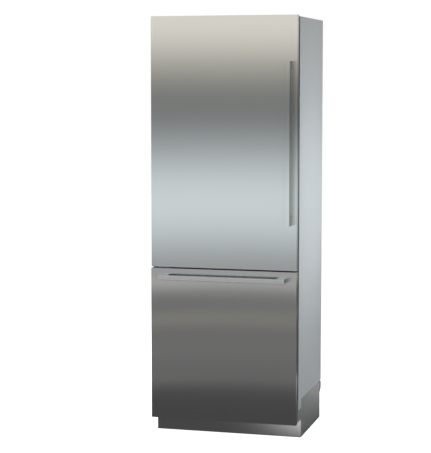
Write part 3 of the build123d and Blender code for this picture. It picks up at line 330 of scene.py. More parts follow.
def control_glass():
    """Black printed glass: a deep gloss that mirrors the shelf below."""
    values = {"Roughness": 0.08, "Coat Weight": 1.0, "Coat Roughness": 0.03}
    made = surface("black_printed_glass", "#0C0D0E", values)
    smear = pattern(made, size_mm=35.0, detail=4)
    roughness(made, smear, smooth=0.06, rough=0.14)
    return made


def compressor_enamel():
    """Deep-drawn steel shell, dip enamelled black: thick gloss that pools at the seam."""
    made = surface("black_enamel", "#131415", {"Roughness": 0.3, "Coat Weight": 0.4, "Coat Roughness": 0.12})
    runs = pattern(made, size_mm=14.0, detail=2)
    roughness(made, runs, smooth=0.24, rough=0.4)
    relief(made, runs, depth_mm=0.05)
    return made


def coil_aluminium():
    """Aluminium fin stock, mill rolled: bright thin fins with a light haze."""
    made = surface("mill_aluminium", "#C9CBCC", {"Metallic": 1.0, "Roughness": 0.36})
    haze = pattern(made, size_mm=8.0, stretch=(1, 1, 4))
    tone(made, haze, "#BFC1C2", "#D3D5D6")
    roughness(made, haze, smooth=0.3, rough=0.45)
    return made


def copper_tube():
    """Copper, drawn: a warm tube, dulled brown in patches by handling."""
    made = surface("drawn_copper", "#C98C6B", {"Metallic": 1.0, "Roughness": 0.3})
    tarnish = pattern(made, size_mm=18.0, detail=4)
    tone(made, tarnish, "#A96F50", "#D59A78")
    roughness(made, tarnish, smooth=0.24, rough=0.42)
    return made


def grommet_rubber():
    """Nitrile rubber, moulded: a dead black with a grey bloom."""
    made = surface("nitrile_rubber", "#1E1F20", {"Roughness": 0.75, "Specular IOR Level": 0.3})
    bloom = pattern(made, size_mm=5.0)
    tone(made, bloom, "#191A1B", "#262728")
    roughness(made, bloom, smooth=0.68, rough=0.85)
    return made


FINISHES = {
    "brushed_stainless": lambda: brushed_stainless("brushed_stainless_304", grain=(1, 1, 150), axis="Z"),
    # The bar's steel is a brighter copy of the fronts' steel: a painted highlight.
    "brushed_stainless_across": lambda: brushed_stainless(
        "brushed_stainless_bar", grain=(150, 1, 1), axis="X", painted_highlight=1.16),
    "cabinet_steel": cabinet_paint,
    "base_steel": lambda: grey_coat("grey_coated_steel", "#888A8C", "#8D8F90", rough=0.28),
    # Painted shade: the front frame's coat is a darker grey that stands in for the shade in the gaps round
    # the door and the drawer.
    "gap_shade_frame_steel": lambda: grey_coat("gap_shade_coated_steel", "#5E6163", "#646769", rough=0.5),
    "kick_steel": kick_steel,
    "zinc_steel": zinc_plate,
    "insulation_foam": insulation_foam,
    "white_liner": liner_styrene,
    "seal_grey": seal_vinyl,
    "shelf_glass": shelf_glass,
    "trim_aluminium": anodised_trim,
    "clear_bin": clear_styrene,
    "freezer_bin": frosted_styrene,
    "black_plastic": lambda: moulded("black_abs", "#17181A", "#1F2022", rough=0.5),
    "grey_plastic": lambda: moulded("grey_polypropylene", "#77797B", "#808284", rough=0.5),
    "dark_plastic": lambda: moulded("dark_grey_abs", "#494B4D", "#535557", rough=0.5),
    "white_plastic": lambda: moulded("white_abs", "#E9EBEC", "#F0F1F2", rough=0.42),
    "light_diffuser": light_diffuser,
    "control_black": control_glass,
    "compressor_black": compressor_enamel,
    "coil_aluminium": coil_aluminium,
    "copper_pipe": copper_tube,
    "grommet_rubber": grommet_rubber,
}
made_finishes = {}


def finish(slot):
    """The material of one of the record's slots, made when it is first asked for."""
    if slot not in made_finishes:
        made_finishes[slot] = FINISHES[slot]()
    return made_finishes[slot]


# Meshes


def shade_smooth():
    """A modifier group that smooths a mesh's faces, for the edges' rounding to show."""
    name = "smooth_faces"
    if name not in bpy.data.node_groups:
        tree = bpy.data.node_groups.new(name, "GeometryNodeTree")
        tree.interface.new_socket("Geometry", in_out="INPUT", socket_type="NodeSocketGeometry")
        tree.interface.new_socket("Geometry", in_out="OUTPUT", socket_type="NodeSocketGeometry")
        start = add(tree, "NodeGroupInput")
        smooth = add(tree, "GeometryNodeSetShadeSmooth", {"Geometry": start.outputs[0]})
        add(tree, "NodeGroupOutput", {0: smooth.outputs[0]})
    return bpy.data.node_groups[name]


def round_edges(obj, radius_mm, segments):
    """Rounds an object's sharp edges, as folding, moulding or deburring leaves them."""
    weld = obj.modifiers.new("weld", "WELD")
    weld.merge_threshold = WELD_GAP
    bevel = obj.modifiers.new("round", "BEVEL")
    bevel.width = radius_mm * MM
    bevel.segments = segments
    bevel.limit_method = "ANGLE"
    bevel.angle_limit = SMOOTH_ANGLE
    smooth = obj.modifiers.new("smooth", "NODES")
    smooth.node_group = shade_smooth()
    obj.modifiers.new("normals", "WEIGHTED_NORMAL")


def dress(node, slot, radius_mm=0.0, segments=2):
    """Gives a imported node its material, and rounds its edges where a radius is given."""
    obj = frame["nodes"][node]
    obj.data.materials.clear()
    obj.data.materials.append(finish(slot))
    if radius_mm:
        round_edges(obj, radius_mm, segments)


def piece(name, mesh, body, slot, stands_for=()):
    """Puts a mesh of the scene's own in place: it rides a body and takes a slot's finish."""
    bmesh.ops.recalc_face_normals(mesh, faces=mesh.faces)
    data = bpy.data.meshes.new(name)
    mesh.to_mesh(data)
    mesh.free()
    data.materials.append(finish(slot))
    data.shade_smooth()
    data.set_sharp_from_angle(angle=SMOOTH_ANGLE)
    obj = bpy.data.objects.new(name, data)
    bpy.context.scene.collection.objects.link(obj)
    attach(obj, body)
    if stands_for:
        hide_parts(*stands_for)


def solids_of(node):
    """Each separate solid of a node as its lowest and highest corner, sorted from low to high."""
    mesh = bmesh.new()
    mesh.from_mesh(frame["nodes"][node].data)
    bmesh.ops.remove_doubles(mesh, verts=mesh.verts, dist=WELD_GAP)
    left, found = set(mesh.verts), []
    while left:
        group, edge = set(), [left.pop()]
        while edge:
            vert = edge.pop()
            group.add(vert)
            near = {e.other_vert(vert) for e in vert.link_edges} & left
            left -= near
            edge.extend(near)
        points = [v.co.copy() for v in group]
        low = Vector(min(p[i] for p in points) for i in range(3))
        high = Vector(max(p[i] for p in points) for i in range(3))
        found.append((low, high))
    mesh.free()
    return sorted(found, key=lambda box: (round(box[0].z, SORT_DIGITS), round(box[0].x, SORT_DIGITS)))


def ring(mesh, points):
    """One closed ring of vertices."""
    return [mesh.verts.new(p) for p in points]


def skin(mesh, rings, closed=False, caps=True):
    """Joins rings of equal length by faces, and closes the first and last one."""
    pairs = list(zip(rings, rings[1:])) + ([(rings[-1], rings[0])] if closed else [])
    for low, high in pairs:
        for i in range(len(low)):
            j = (i + 1) % len(low)
            mesh.faces.new((low[i], low[j], high[j], high[i]))
    if caps and not closed:
        mesh.faces.new(list(reversed(rings[0])))
        mesh.faces.new(rings[-1])


def inset(limits, by):
    """A pair of limits drawn in by the same amount at both ends."""
    return (limits[0] + by, limits[1] - by)


def rounded_rings(mesh, limits, radius, levels, axis):
    """Rings of a box's outline with round corners, for each level as (drawn in by, place along the axis)."""
    order = {"X": (1, 2, 0), "Y": (2, 0, 1), "Z": (0, 1, 2)}[axis]
    rings = []
    for drawn_in, level in levels:
        corner = max(radius - drawn_in, MM)
        u, v = (inset(inset(limits[i], drawn_in), corner) for i in order[:2])
        points = []
        for cu, cv, start in ((u[1], v[1], 0), (u[0], v[1], 90), (u[0], v[0], 180), (u[1], v[0], 270)):
            for i in range(CORNER_STEPS + 1):
                angle = math.radians(start + 90 * i / CORNER_STEPS)
                point = Vector()
                point[order[0]] = cu + corner * math.cos(angle)
                point[order[1]] = cv + corner * math.sin(angle)
                point[order[2]] = level
                points.append(point)
        rings.append(ring(mesh, points))
    return rings


def quarter(radius, start=0.0):
    """A quarter round from a floor to a wall: how far it is drawn in and how high it stands."""
    angles = [math.pi / 2 * i / EDGE_STEPS for i in range(EDGE_STEPS + 1)]
    return [(start + radius * (1 - math.sin(a)), radius * (1 - math.cos(a))) for a in angles]


def slab(mesh, x, y, z, radius, edge, axis="Z"):
    """A plate between pairs of limits: round corners seen along its axis, and rounded edges."""
    limits = (x, y, z)
    low, high = limits["XYZ".index(axis)]
    rise = quarter(edge)
    levels = [(drawn_in, low + up) for drawn_in, up in rise]
    levels += [(drawn_in, high - up) for drawn_in, up in reversed(rise)]
    skin(mesh, rounded_rings(mesh, limits, radius, levels, axis))


def tub(mesh, x, y, z, wall, radius, foot, lean=0.0, lip=0.0, axis="Z", mouth=1, outside=None):
    """An open tub: leaning walls, a round foot, a lip at its mouth, and its own corners outside if given."""
    limits = (x, y, z)
    low, high = limits["XYZ".index(axis)]
    height = high - low
    outer = quarter(foot, lip + lean)
    if lip:
        outer += [(lip, height - LIP_START * lip), (0.0, height - LIP_FULL * lip)]
    edge = wall * RIM_SHARE
    outer += [(0.0, height - edge), (edge, height)]
    inner = [(drawn_in, up + wall) for drawn_in, up in quarter(max(foot - wall, MM), lip + lean + wall)]
    inner += [(lip + wall, height - edge), (lip + wall - edge, height)]
    start = low if mouth > 0 else high
    rings = []
    for corner, levels in ((outside or radius, outer), (radius, inner[::-1])):
        places = [(drawn_in, start + mouth * up) for drawn_in, up in levels]
        rings += rounded_rings(mesh, limits, corner, places, axis)
    skin(mesh, rings)


def polar(shape, radius, angle):
    """How far a round, six-sided or cross-shaped outline stands from its middle at an angle."""
    if shape == "hex":
        return radius * math.cos(math.pi / 6) / math.cos((angle + math.pi / 6) % (math.pi / 3) - math.pi / 6)
    if shape == "cross":
        fold = abs((angle + math.pi / 4) % (math.pi / 2) - math.pi / 4)
        return min(radius / math.cos(fold), CROSS_ARM * radius / max(math.sin(fold), LEAST_SINE))
    return radius


def turned(mesh, profile, seat, way):
    """A solid along a way from its seat, from levels as (height, radius, shape of the outline)."""
    spin = Vector(way).to_track_quat("Z", "Y").to_matrix()
    rings = []
    for height, radius, shape in profile:
        points = []
        for i in range(TURN_STEPS):
            angle = 2 * math.pi * i / TURN_STEPS
            out = polar(shape, radius, angle)
            point = Vector((out * math.cos(angle), out * math.sin(angle), height))
            points.append(Vector(seat) + spin @ point)
        rings.append(ring(mesh, points))
    skin(mesh, rings)


# Sizes and colours that a user would change


class SteelLook(bpy.types.PropertyGroup):
    colour: bpy.props.FloatVectorProperty(
        name="Colour", description="Colour of the bare steel", subtype="COLOR", size=3, min=0, max=1,
        default=linear("#D1D1D0")[:3])
    # Painted shade: the colour that the steel's faces turned left or right are darkened to.
    side_shade_colour: bpy.props.FloatVectorProperty(
        name="Side colour", description="Colour of the folded sides, which keep the mill's finish",
        subtype="COLOR", size=3, min=0, max=1, default=linear("#9A9A97")[:3])
    roughness: bpy.props.FloatProperty(
        name="Roughness", description="How far the brushing spreads a reflection", min=0.05, max=1,
        subtype="FACTOR", default=0.24)
    anisotropy: bpy.props.FloatProperty(
        name="Anisotropy", description="How much more it spreads across the grain than along it",
        min=0, max=1, subtype="FACTOR", default=0.9)
    grain_mm: bpy.props.FloatProperty(
        name="Grain (mm)", description="Width of one drawn brush streak in millimetres", min=0.5, max=20,
        default=3.0)


class CabinetLook(bpy.types.PropertyGroup):
    colour: bpy.props.FloatVectorProperty(
        name="Colour", description="Colour of the coated side panels", subtype="COLOR", size=3, min=0,
        max=1, default=linear("#C6CCD0")[:3])
    edge: bpy.props.FloatProperty(
        name="Edge radius", description="Rounding of folded sheet edges", unit="LENGTH", min=0, max=0.01,
        default=0.0004)


class SealSize(bpy.types.PropertyGroup):
    foot_width: bpy.props.FloatProperty(
        name="Foot width", description="Width of the part that grips the door", unit="LENGTH", min=0.005,
        max=0.03, default=0.018)
    bulb_width: bpy.props.FloatProperty(
        name="Bulb width", description="Width of the part that meets the cabinet", unit="LENGTH", min=0.005,
        max=0.04, default=0.026)
    folds: bpy.props.IntProperty(
        name="Folds", description="Bellows folds on each side of the gasket", min=1, max=4, default=2)
    fold_depth: bpy.props.FloatProperty(
        name="Fold depth", description="How far a fold goes in", unit="LENGTH", min=0.0005, max=0.004,
        default=0.0018)


class LinerSize(bpy.types.PropertyGroup):
    sheet: bpy.props.FloatProperty(
        name="Sheet", description="Thickness of the formed sheet", unit="LENGTH", min=0.001, max=0.004,
        default=0.002)
    corner: bpy.props.FloatProperty(
        name="Corner radius", description="Rounding where two walls meet", unit="LENGTH", min=0.004,
        max=0.03, default=0.018)
    edge: bpy.props.FloatProperty(
        name="Ledge radius", description="Rounding of the ledges and ridges", unit="LENGTH", min=0.001,
        max=0.008, default=0.004)


class BinSize(bpy.types.PropertyGroup):
    wall: bpy.props.FloatProperty(
        name="Wall", description="Thickness of the moulded walls", unit="LENGTH", min=0.001, max=0.005,
        default=0.0025)
    foot: bpy.props.FloatProperty(
        name="Foot radius", description="Rounding between the floor and the walls", unit="LENGTH",
        min=0.002, max=0.02, default=0.010)
    lean: bpy.props.FloatProperty(
        name="Lean", description="How far the walls draw in towards the floor", unit="LENGTH", min=0,
        max=0.02, default=0.005)
    lip: bpy.props.FloatProperty(
        name="Lip", description="How far a door bin's rim stands out", unit="LENGTH", min=0.001, max=0.004,
        default=0.0025)
    ribs: bpy.props.IntProperty(
        name="Ribs", description="Raised ribs on each bin's floor", min=1, max=12, default=5)


class FanSize(bpy.types.PropertyGroup):
    blades: bpy.props.IntProperty(
        name="Blades", description="Blades of each fan wheel", min=3, max=9, default=5)
    root_pitch: bpy.props.FloatProperty(
        name="Root pitch", description="Blade angle at the hub", subtype="ANGLE", min=0, max=1.4,
        default=math.radians(48))
    tip_pitch: bpy.props.FloatProperty(
        name="Tip pitch", description="Blade angle at the tip", subtype="ANGLE", min=0, max=1.4,
        default=math.radians(24))


class StudioLook(bpy.types.PropertyGroup):
    floor: bpy.props.FloatVectorProperty(
        name="Floor", description="Colour of the floor and the backdrop", subtype="COLOR", size=3, min=0,
        max=1, default=linear("#F4F4F3")[:3])
    level: bpy.props.FloatProperty(
        name="Level", description="Brightness of the light from all round", min=0, max=2, default=0.18)
    side_power: bpy.props.FloatProperty(
        name="Side lamp", description="Power of the lamp on the right", subtype="POWER", min=0, max=500,
        default=5.15)
    front_power: bpy.props.FloatProperty(
        name="Front lamp", description="Power of the lamp ahead", subtype="POWER", min=0, max=500,
        default=162.0)
    rear_power: bpy.props.FloatProperty(
        name="Rear lamp", description="Power of the lamp behind", subtype="POWER", min=0, max=500,
        default=34.0)
    top_power: bpy.props.FloatProperty(
        name="Top lamp", description="Power of the lamp overhead", subtype="POWER", min=0, max=500,
        default=50.0)


LOOKS = (("refrigerator_steel", SteelLook), ("refrigerator_cabinet", CabinetLook),
         ("refrigerator_liner", LinerSize), ("refrigerator_bins", BinSize), ("refrigerator_seal", SealSize),
         ("refrigerator_fan", FanSize), ("refrigerator_studio", StudioLook))


# Pieces

# Moulded ledges on the compartments' sides, and how far they stay from a liner's mouth and from its back.
LEDGE_THICK = 0.008
LEDGE_WIDTH = 0.014
FRIDGE_LEDGE_IN = (0.1283, 0.0400)
FREEZER_LEDGE_IN = (0.0393, 0.0460)
# A front's raised face: the gap round it in its opening, and its rise. The door's ridges hold the bins.
PLUG_CLEAR = 0.012
PLUG_RISE = 0.025
DOOR_RIDGE_WIDTH = 0.020
DOOR_RIDGE_BELOW = 0.0025
# A gasket's section in shares of its depth: its foot, its bellows and half a fold. Its bulb is written as
# shares of half its width and of the depth.
SEAL_FOOT = 0.18
SEAL_BELLOWS = 0.62
SEAL_FOLD = 0.12
SEAL_BULB = ((1.0, 0.86), (0.92, 0.97), (0.7, 1.0))
# Hinge screws. The head is written as shares of its height and its radius, and the cross as shares of it.
SCREW_HEAD = 0.0026
SCREW_SHANK = 0.0024
SCREW_TIP = 0.4
SCREW_TAPER = 0.6
SCREW_DOME = ((0.0, 0.97), (0.12, 1.0), (0.45, 0.97), (0.8, 0.84), (0.96, 0.68))
SCREW_RECESS = 0.0017
SCREW_CROSS_MOUTH = 0.52
SCREW_CROSS_FLOOR = 0.34
# Panel screws: how many stand up each side and along the top between them, how far in from the edges, and
# their heights over the sheet and radii in millimetres, a washer under a hexagon.
PANEL_SCREWS = {"back_panel": (6, 1), "rear_cover": (2, 3)}
PANEL_SCREW_IN = 0.008
PANEL_SCREW_MM = ((-0.5, 3.0, "round"), (0.0, 4.6, "round"), (0.6, 4.6, "round"), (0.9, 4.0, "round"),
                  (0.9, 3.1, "hex"), (2.6, 3.1, "hex"), (3.0, 2.6, "hex"))
# Bins: the rim that runs on a ledge and its gap, the floor's ribs, the walls' corners, and for each kind how
# far the rim overhangs and how far from the end it stops.
RIM_THICK = 0.003
REST_GAP = 0.0003
RIB = 0.003
DOOR_BIN_RIBS = 3
BIN_CORNER = 0.014
CRISPER_OVERHANG = 0.013
CRISPER_RIM_END = 0.014
BASKET_OVERHANG = 0.0115
TRAY_OVERHANG = 0.013
FREEZER_BIN_CORNER = 0.020
FREEZER_RIM_END = 0.020
# A crisper's front with the grip that runs along its top.
CRISPER_GRIP_RISE = 0.012
CRISPER_GRIP_REACH = 0.008
CRISPER_GRIP_THICK = 0.003
CRISPER_GRIP_CORNER = 0.006
CRISPER_GRIP_EDGE = 0.0012
CRISPER_FRONT = 0.012
CRISPER_FRONT_SIDE = 0.007
CRISPER_FRONT_CORNER = 0.008
CRISPER_FRONT_EDGE = 0.003
# How far behind the front's wall a crisper's rim starts, and how far below a bin's top its ledges stand.
CRISPER_RIM_BACK = 0.002
CRISPER_RIM_DROP = CRISPER_GRIP_RISE + RIM_THICK + REST_GAP
TRAY_RIM_DROP = RIM_THICK + REST_GAP
# Fan wheels: the hub's radius, its dome as heights and shares of that radius, and how finely blades are cut.
HUB_RADIUS = 0.017
HUB_DOME = ((0.0, 0.72), (0.0008, 0.86), (0.0028, 1.0))
BLADE_STEPS = 8
BLADE_POINTS = 12
# Blades, in shares: of the hub's radius where they start, of the clear radius where they end, and of the
# wheel's depth that they reach from its middle.
BLADE_ROOT = 0.9
BLADE_TIP = 0.985
BLADE_REACH = 0.46
# A blade's chord in hub radii: what it has at least and what a half wave adds, and where the wave starts
# and how far it runs, as shares of a half turn.
CHORD_LEAST = 0.713
CHORD_SWELL = 0.8625
CHORD_WAVE = (0.15, 0.7)
# Half a blade's thickness, the factor it starts with at the hub and what it loses up to the tip, and the
# camber as a share of the chord. Flat blades are cut short as if their pitch had at least this sine.
BLADE_HALF_THICK = 0.0011
BLADE_TAPER = (1.25, 0.5)
BLADE_CAMBER = 0.09
LEAST_PITCH_SINE = 0.2


class FrontsOperator(bpy.types.Operator):
    """Brushed steel door and drawer fronts with their handles"""

    bl_idname = "refrigerator.fronts"
    bl_label = "Fronts and handles"

    def execute(self, context):
        for node in ("door_skin", "drawer_skin"):
            dress(node, "brushed_stainless", radius_mm=0.45)
        for node in ("door_handle_bar", "door_handle_blocks"):
            dress(node, "brushed_stainless")
        for node in ("drawer_handle_bar", "drawer_handle_blocks"):
            dress(node, "brushed_stainless_across")
        dress("door_end_caps", "dark_plastic", radius_mm=0.8)
        return {"FINISHED"}


class CabinetOperator(bpy.types.Operator):
    """Outer sheets, front frame and foam of the cabinet"""

    bl_idname = "refrigerator.cabinet"
    bl_label = "Cabinet"

    def execute(self, context):
        edge_mm = context.scene.refrigerator_cabinet.edge / MM
        for node in ("left_side_panel", "right_side_panel", "top_panel", "back_panel", "cabinet_floor"):
            dress(node, "cabinet_steel", edge_mm)
        # Painted shade: the front frame takes a darker coat for the shade in the gaps round the fronts.
        dress("front_frame", "gap_shade_frame_steel", edge_mm)
        dress("cabinet_foam", "insulation_foam")
        return {"FINISHED"}


def cabinet_liner(name, node, ledge_in, ledge_tops):
    """A compartment's thermoformed liner: round inner corners, and moulded ledges on its sides."""
    size = bpy.context.scene.refrigerator_liner
    low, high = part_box(node)
    mesh = bmesh.new()
    outer = size.corner + size.sheet
    tub(mesh, (low.x, high.x), (low.y, high.y), (low.z, high.z), size.sheet, outer, outer, axis="Y", mouth=-1,
        outside=size.sheet)
    wall = high.x - size.sheet
    ledge_y = (low.y + ledge_in[0], high.y - ledge_in[1])
    for top in ledge_tops:
        for x in ((wall - LEDGE_WIDTH, wall + size.sheet / 2), (-wall - size.sheet / 2, -wall + LEDGE_WIDTH)):
            slab(mesh, x, ledge_y, (top - LEDGE_THICK, top), size.edge, size.edge / 2)
    piece(name, mesh, "cabinet", "white_liner", [node])


def raised_face(mesh, opening, start, top, ridges, drawn_in):
    """A front's raised face, which fits its opening, with its ridges: its outside, or drawn in from it."""
    size = bpy.context.scene.refrigerator_liner
    clear = size.sheet + PLUG_CLEAR + drawn_in
    x, z = (inset((opening[0][i], opening[1][i]), clear) for i in (0, 2))
    face = start + size.sheet + PLUG_RISE - drawn_in
    radius = size.corner / 2 - drawn_in
    slab(mesh, x, (start - radius, face), z, size.corner - drawn_in, radius, "Y")
    for ridge_x, ridge_z in ridges:
        slab(mesh, inset(ridge_x, drawn_in), (start, top - drawn_in), inset(ridge_z, drawn_in),
             size.edge - drawn_in, size.edge - drawn_in, "Y")


def front_inside(name, liner, core, body, opening, ridges=()):
    """The inner sheet of a door or drawer, a flange with a raised face, and the foam core behind it."""
    size = bpy.context.scene.refrigerator_liner
    low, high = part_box(liner)
    flange = (low.y, low.y + size.sheet)
    mesh = bmesh.new()
    slab(mesh, (low.x, high.x), flange, (low.z, high.z), size.edge / 2, size.sheet * RIM_SHARE, "Y")
    raised_face(mesh, opening, low.y, high.y, ridges, 0.0)
    piece(f"{name}_inner", mesh, body, "white_liner", [liner])
    core_low, core_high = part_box(core)
    mesh = bmesh.new()
    slab(mesh, (core_low.x, core_high.x), (core_low.y, low.y), (core_low.z, core_high.z), MM, MM / 2, "Y")
    raised_face(mesh, opening, low.y, high.y, ridges, size.sheet)
    piece(f"{name}_core", mesh, body, "insulation_foam", [core])


class LinersOperator(bpy.types.Operator):
    """Thermoformed liners of the compartments, the door and the drawer, and the foam cores of the last two"""

    bl_idname = "refrigerator.liners"
    bl_label = "Liners"

    def execute(self, context):
        shelves = [low.z for low, _ in solids_of("shelf_glass")]
        crispers = [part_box(node)[1].z - CRISPER_RIM_DROP for node in ("crisper_lower", "crisper_upper")]
        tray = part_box("freezer_tray")[1].z - TRAY_RIM_DROP
        cabinet_liner("fridge_inner", "fridge_liner", FRIDGE_LEDGE_IN, shelves + crispers)
        cabinet_liner("freezer_inner", "freezer_liner", FREEZER_LEDGE_IN, [tray])
        bins_low, bins_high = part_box("door_bins")
        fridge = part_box("fridge_liner")
        ridge_top = fridge[1].z - context.scene.refrigerator_liner.sheet - PLUG_CLEAR
        ridge_z = (min(shelves) - DOOR_RIDGE_BELOW, ridge_top)
        ridges = [((bins_high.x, bins_high.x + DOOR_RIDGE_WIDTH), ridge_z),
                  ((bins_low.x - DOOR_RIDGE_WIDTH, bins_low.x), ridge_z)]
        front_inside("door", "door_liner", "door_foam", "door", fridge, ridges)
        front_inside("drawer", "drawer_liner", "drawer_foam", "freezer_drawer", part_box("freezer_liner"))
        return {"FINISHED"}


class BaseOperator(bpy.types.Operator):
    """Base, toe-kick, feet, rollers and what stands in the machine space"""

    bl_idname = "refrigerator.base"
    bl_label = "Base and machine space"

    def execute(self, context):
        for node, radius_mm in (("base_tray", 0.8), ("rear_cover", 0.5), ("lower_side_covers", 0.8)):
            dress(node, "base_steel", radius_mm)
        dress("toe_kick", "kick_steel", radius_mm=0.5)
        for node in ("roller_left", "roller_right", "drain_pan"):
            dress(node, "grey_plastic")
        for node in ("foot_left", "foot_right", "roller_brackets"):
            dress(node, "zinc_steel")
        dress("compressor", "compressor_black")
        dress("compressor_grommets", "grommet_rubber")
        dress("condenser", "coil_aluminium")
        dress("condenser_fan_frame", "black_plastic", radius_mm=0.8)
        dress("discharge_pipe", "copper_pipe")
        dress("power_inlet", "black_plastic", radius_mm=0.5)
        dress("rear_spacers", "black_plastic", radius_mm=1.5, segments=3)
        return {"FINISHED"}


def gasket(name, node, body):
    """A magnetic gasket: a flat foot, bellows on both sides and a round bulb, with mitred corners."""
    size = bpy.context.scene.refrigerator_seal
    low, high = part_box(node)
    foot = size.foot_width / 2
    middle = size.bulb_width / 2
    depth = high.y - low.y
    half = [(foot, 0.0), (foot, SEAL_FOOT)]
    for i in range(size.folds):
        out = SEAL_FOOT + SEAL_BELLOWS * (i + 0.5) / size.folds
        half += [(foot - size.fold_depth, out - SEAL_FOLD), (foot, out + SEAL_FOLD)]
    half += [(middle * share, out) for share, out in SEAL_BULB]
    section = half + [(-across, out) for across, out in reversed(half)]
    mesh = bmesh.new()
    rings = []
    for right, upper in ((False, False), (True, False), (True, True), (False, True)):
        points = []
        for across, out in section:
            drawn_in = middle - across
            x = high.x - drawn_in if right else low.x + drawn_in
            z = high.z - drawn_in if upper else low.z + drawn_in
            points.append((x, low.y + out * depth, z))
        rings.append(ring(mesh, points))
    skin(mesh, rings, closed=True)
    piece(name, mesh, body, "seal_grey", [node])


class SealsOperator(bpy.types.Operator):
    """Gaskets of the door and the drawer"""

    bl_idname = "refrigerator.seals"
    bl_label = "Seals"

    def execute(self, context):
        gasket("door_gasket", "door_seal", "door")
        gasket("drawer_gasket", "drawer_seal", "freezer_drawer")
        return {"FINISHED"}


def hinge_screws(name, node, body):
    """Pan-head screws with a cross recess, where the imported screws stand."""
    mesh = bmesh.new()
    for low, high in solids_of(node):
        size = high - low
        upright = size.z > size.y
        head = min(size) / 2
        length = max(size)
        middle = (low + high) / 2
        seat = (middle.x, middle.y, low.z) if upright else (middle.x, high.y, middle.z)
        way = (0, 0, 1) if upright else (0, -1, 0)
        shank = length - SCREW_HEAD
        profile = [(0.0, SCREW_SHANK * SCREW_TIP), (SCREW_SHANK * SCREW_TAPER, SCREW_SHANK),
                   (shank, SCREW_SHANK)]
        profile += [(shank + SCREW_HEAD * rise, head * share) for rise, share in SCREW_DOME]
        levels = [(height, radius, "round") for height, radius in profile]
        levels += [(length, head * SCREW_CROSS_MOUTH, "cross"),
                   (length - SCREW_RECESS, head * SCREW_CROSS_FLOOR, "cross")]
        turned(mesh, levels, seat, way)
    piece(name, mesh, body, "zinc_steel", [node])


def panel_screws(name, body):
    """Hexagon washer-head screws along the edges of the back panel and of the rear cover."""
    mesh = bmesh.new()
    places = []
    for node, (heights, columns) in PANEL_SCREWS.items():
        low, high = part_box(node)
        z_low, z_high = inset((low.z, high.z), PANEL_SCREW_IN)
        x_low, x_high = inset((low.x, high.x), PANEL_SCREW_IN)
        for i in range(heights):
            z = z_low + (z_high - z_low) * i / (heights - 1)
            places += [Vector((x, high.y, z)) for x in (x_low, x_high)]
        for i in range(columns):
            places.append(Vector((x_low + (x_high - x_low) * (i + 1) / (columns + 1), high.y, z_high)))
    levels = [(height * MM, radius * MM, shape) for height, radius, shape in PANEL_SCREW_MM]
    for place in places:
        turned(mesh, levels, place, (0, 1, 0))
    piece(name, mesh, body, "zinc_steel")


class HardwareOperator(bpy.types.Operator):
    """Hinges, their bushes and screws, and the drawer slides"""

    bl_idname = "refrigerator.hardware"
    bl_label = "Hinges and slides"

    def execute(self, context):
        for node in ("upper_hinge", "lower_hinge"):
            dress(node, "zinc_steel")
        for node in ("slide_fixed", "slide_middle", "slide_inner"):
            dress(node, "zinc_steel", radius_mm=0.3)
        dress("hinge_bushes", "white_plastic")
        hinge_screws("hinge_screw_set", "hinge_screws", "cabinet")
        panel_screws("panel_screws", "cabinet")
        return {"FINISHED"}


def floor_ribs(mesh, x, y, floor, count, along_x):
    """Low round ribs on a bin's floor, evenly spaced."""
    limits, run = (y, x) if along_x else (x, y)
    for i in range(count):
        middle = limits[0] + (limits[1] - limits[0]) * (i + 0.5) / count
        across = (middle - RIB / 2, middle + RIB / 2)
        rib_x, rib_y = (run, across) if along_x else (across, run)
        slab(mesh, rib_x, rib_y, (floor - RIB / 2, floor + RIB / 2), RIB / 2, RIB / 3)


def door_bins(name, node, body):
    """The door's moulded bins: leaning walls, a rolled rim and ribs on the floor."""
    size = bpy.context.scene.refrigerator_bins
    mesh = bmesh.new()
    for low, high in solids_of(node):
        x, y = (low.x, high.x), (low.y, high.y)
        tub(mesh, x, y, (low.z, high.z), size.wall, BIN_CORNER, size.foot, size.lean, size.lip)
        within = size.lip + size.lean + size.foot + RIB
        floor_ribs(mesh, inset(x, within), inset(y, within), low.z + size.wall, DOOR_BIN_RIBS, True)
    piece(name, mesh, body, "clear_bin", [node])


def bin_on_ledges(mesh, x, y, z, corner, overhang, rim_y):
    """A moulded bin with ribs on its floor, and with side rims that run on ledges."""
    size = bpy.context.scene.refrigerator_bins
    body_x = inset(x, overhang)
    tub(mesh, body_x, y, z, size.wall, corner, size.foot, size.lean)
    within = size.lean + size.foot + RIB
    floor_ribs(mesh, inset(body_x, within), inset(y, within), z[0] + size.wall, size.ribs, False)
    for rim_x in ((body_x[1] - size.wall, x[1]), (x[0], body_x[0] + size.wall)):
        slab(mesh, rim_x, rim_y, (z[1] - RIM_THICK, z[1]), RIM_THICK, RIM_THICK / 3)


def crisper(name, node, body):
    """A clear drawer: a bin on ledges behind a thick front, with a grip along its top."""
    wall = bpy.context.scene.refrigerator_bins.wall
    low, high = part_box(node)
    mesh = bmesh.new()
    x = (low.x, high.x)
    face = low.y + CRISPER_GRIP_REACH
    y = (face + CRISPER_FRONT - wall, high.y)
    rim_y = (y[0] + wall + CRISPER_RIM_BACK, y[1] - CRISPER_RIM_END)
    z = (low.z, high.z - CRISPER_GRIP_RISE)
    bin_on_ledges(mesh, x, y, z, BIN_CORNER, CRISPER_OVERHANG, rim_y)
    front_x = inset(x, CRISPER_FRONT_SIDE)
    front_y = (face, face + CRISPER_FRONT)
    slab(mesh, front_x, front_y, (low.z, high.z), CRISPER_FRONT_CORNER, CRISPER_FRONT_EDGE, "Y")
    grip_y = (low.y, face + CRISPER_FRONT / 2)
    grip_z = (high.z - CRISPER_GRIP_THICK, high.z)
    slab(mesh, front_x, grip_y, grip_z, CRISPER_GRIP_CORNER, CRISPER_GRIP_EDGE)
    piece(name, mesh, body, "clear_bin", [node])


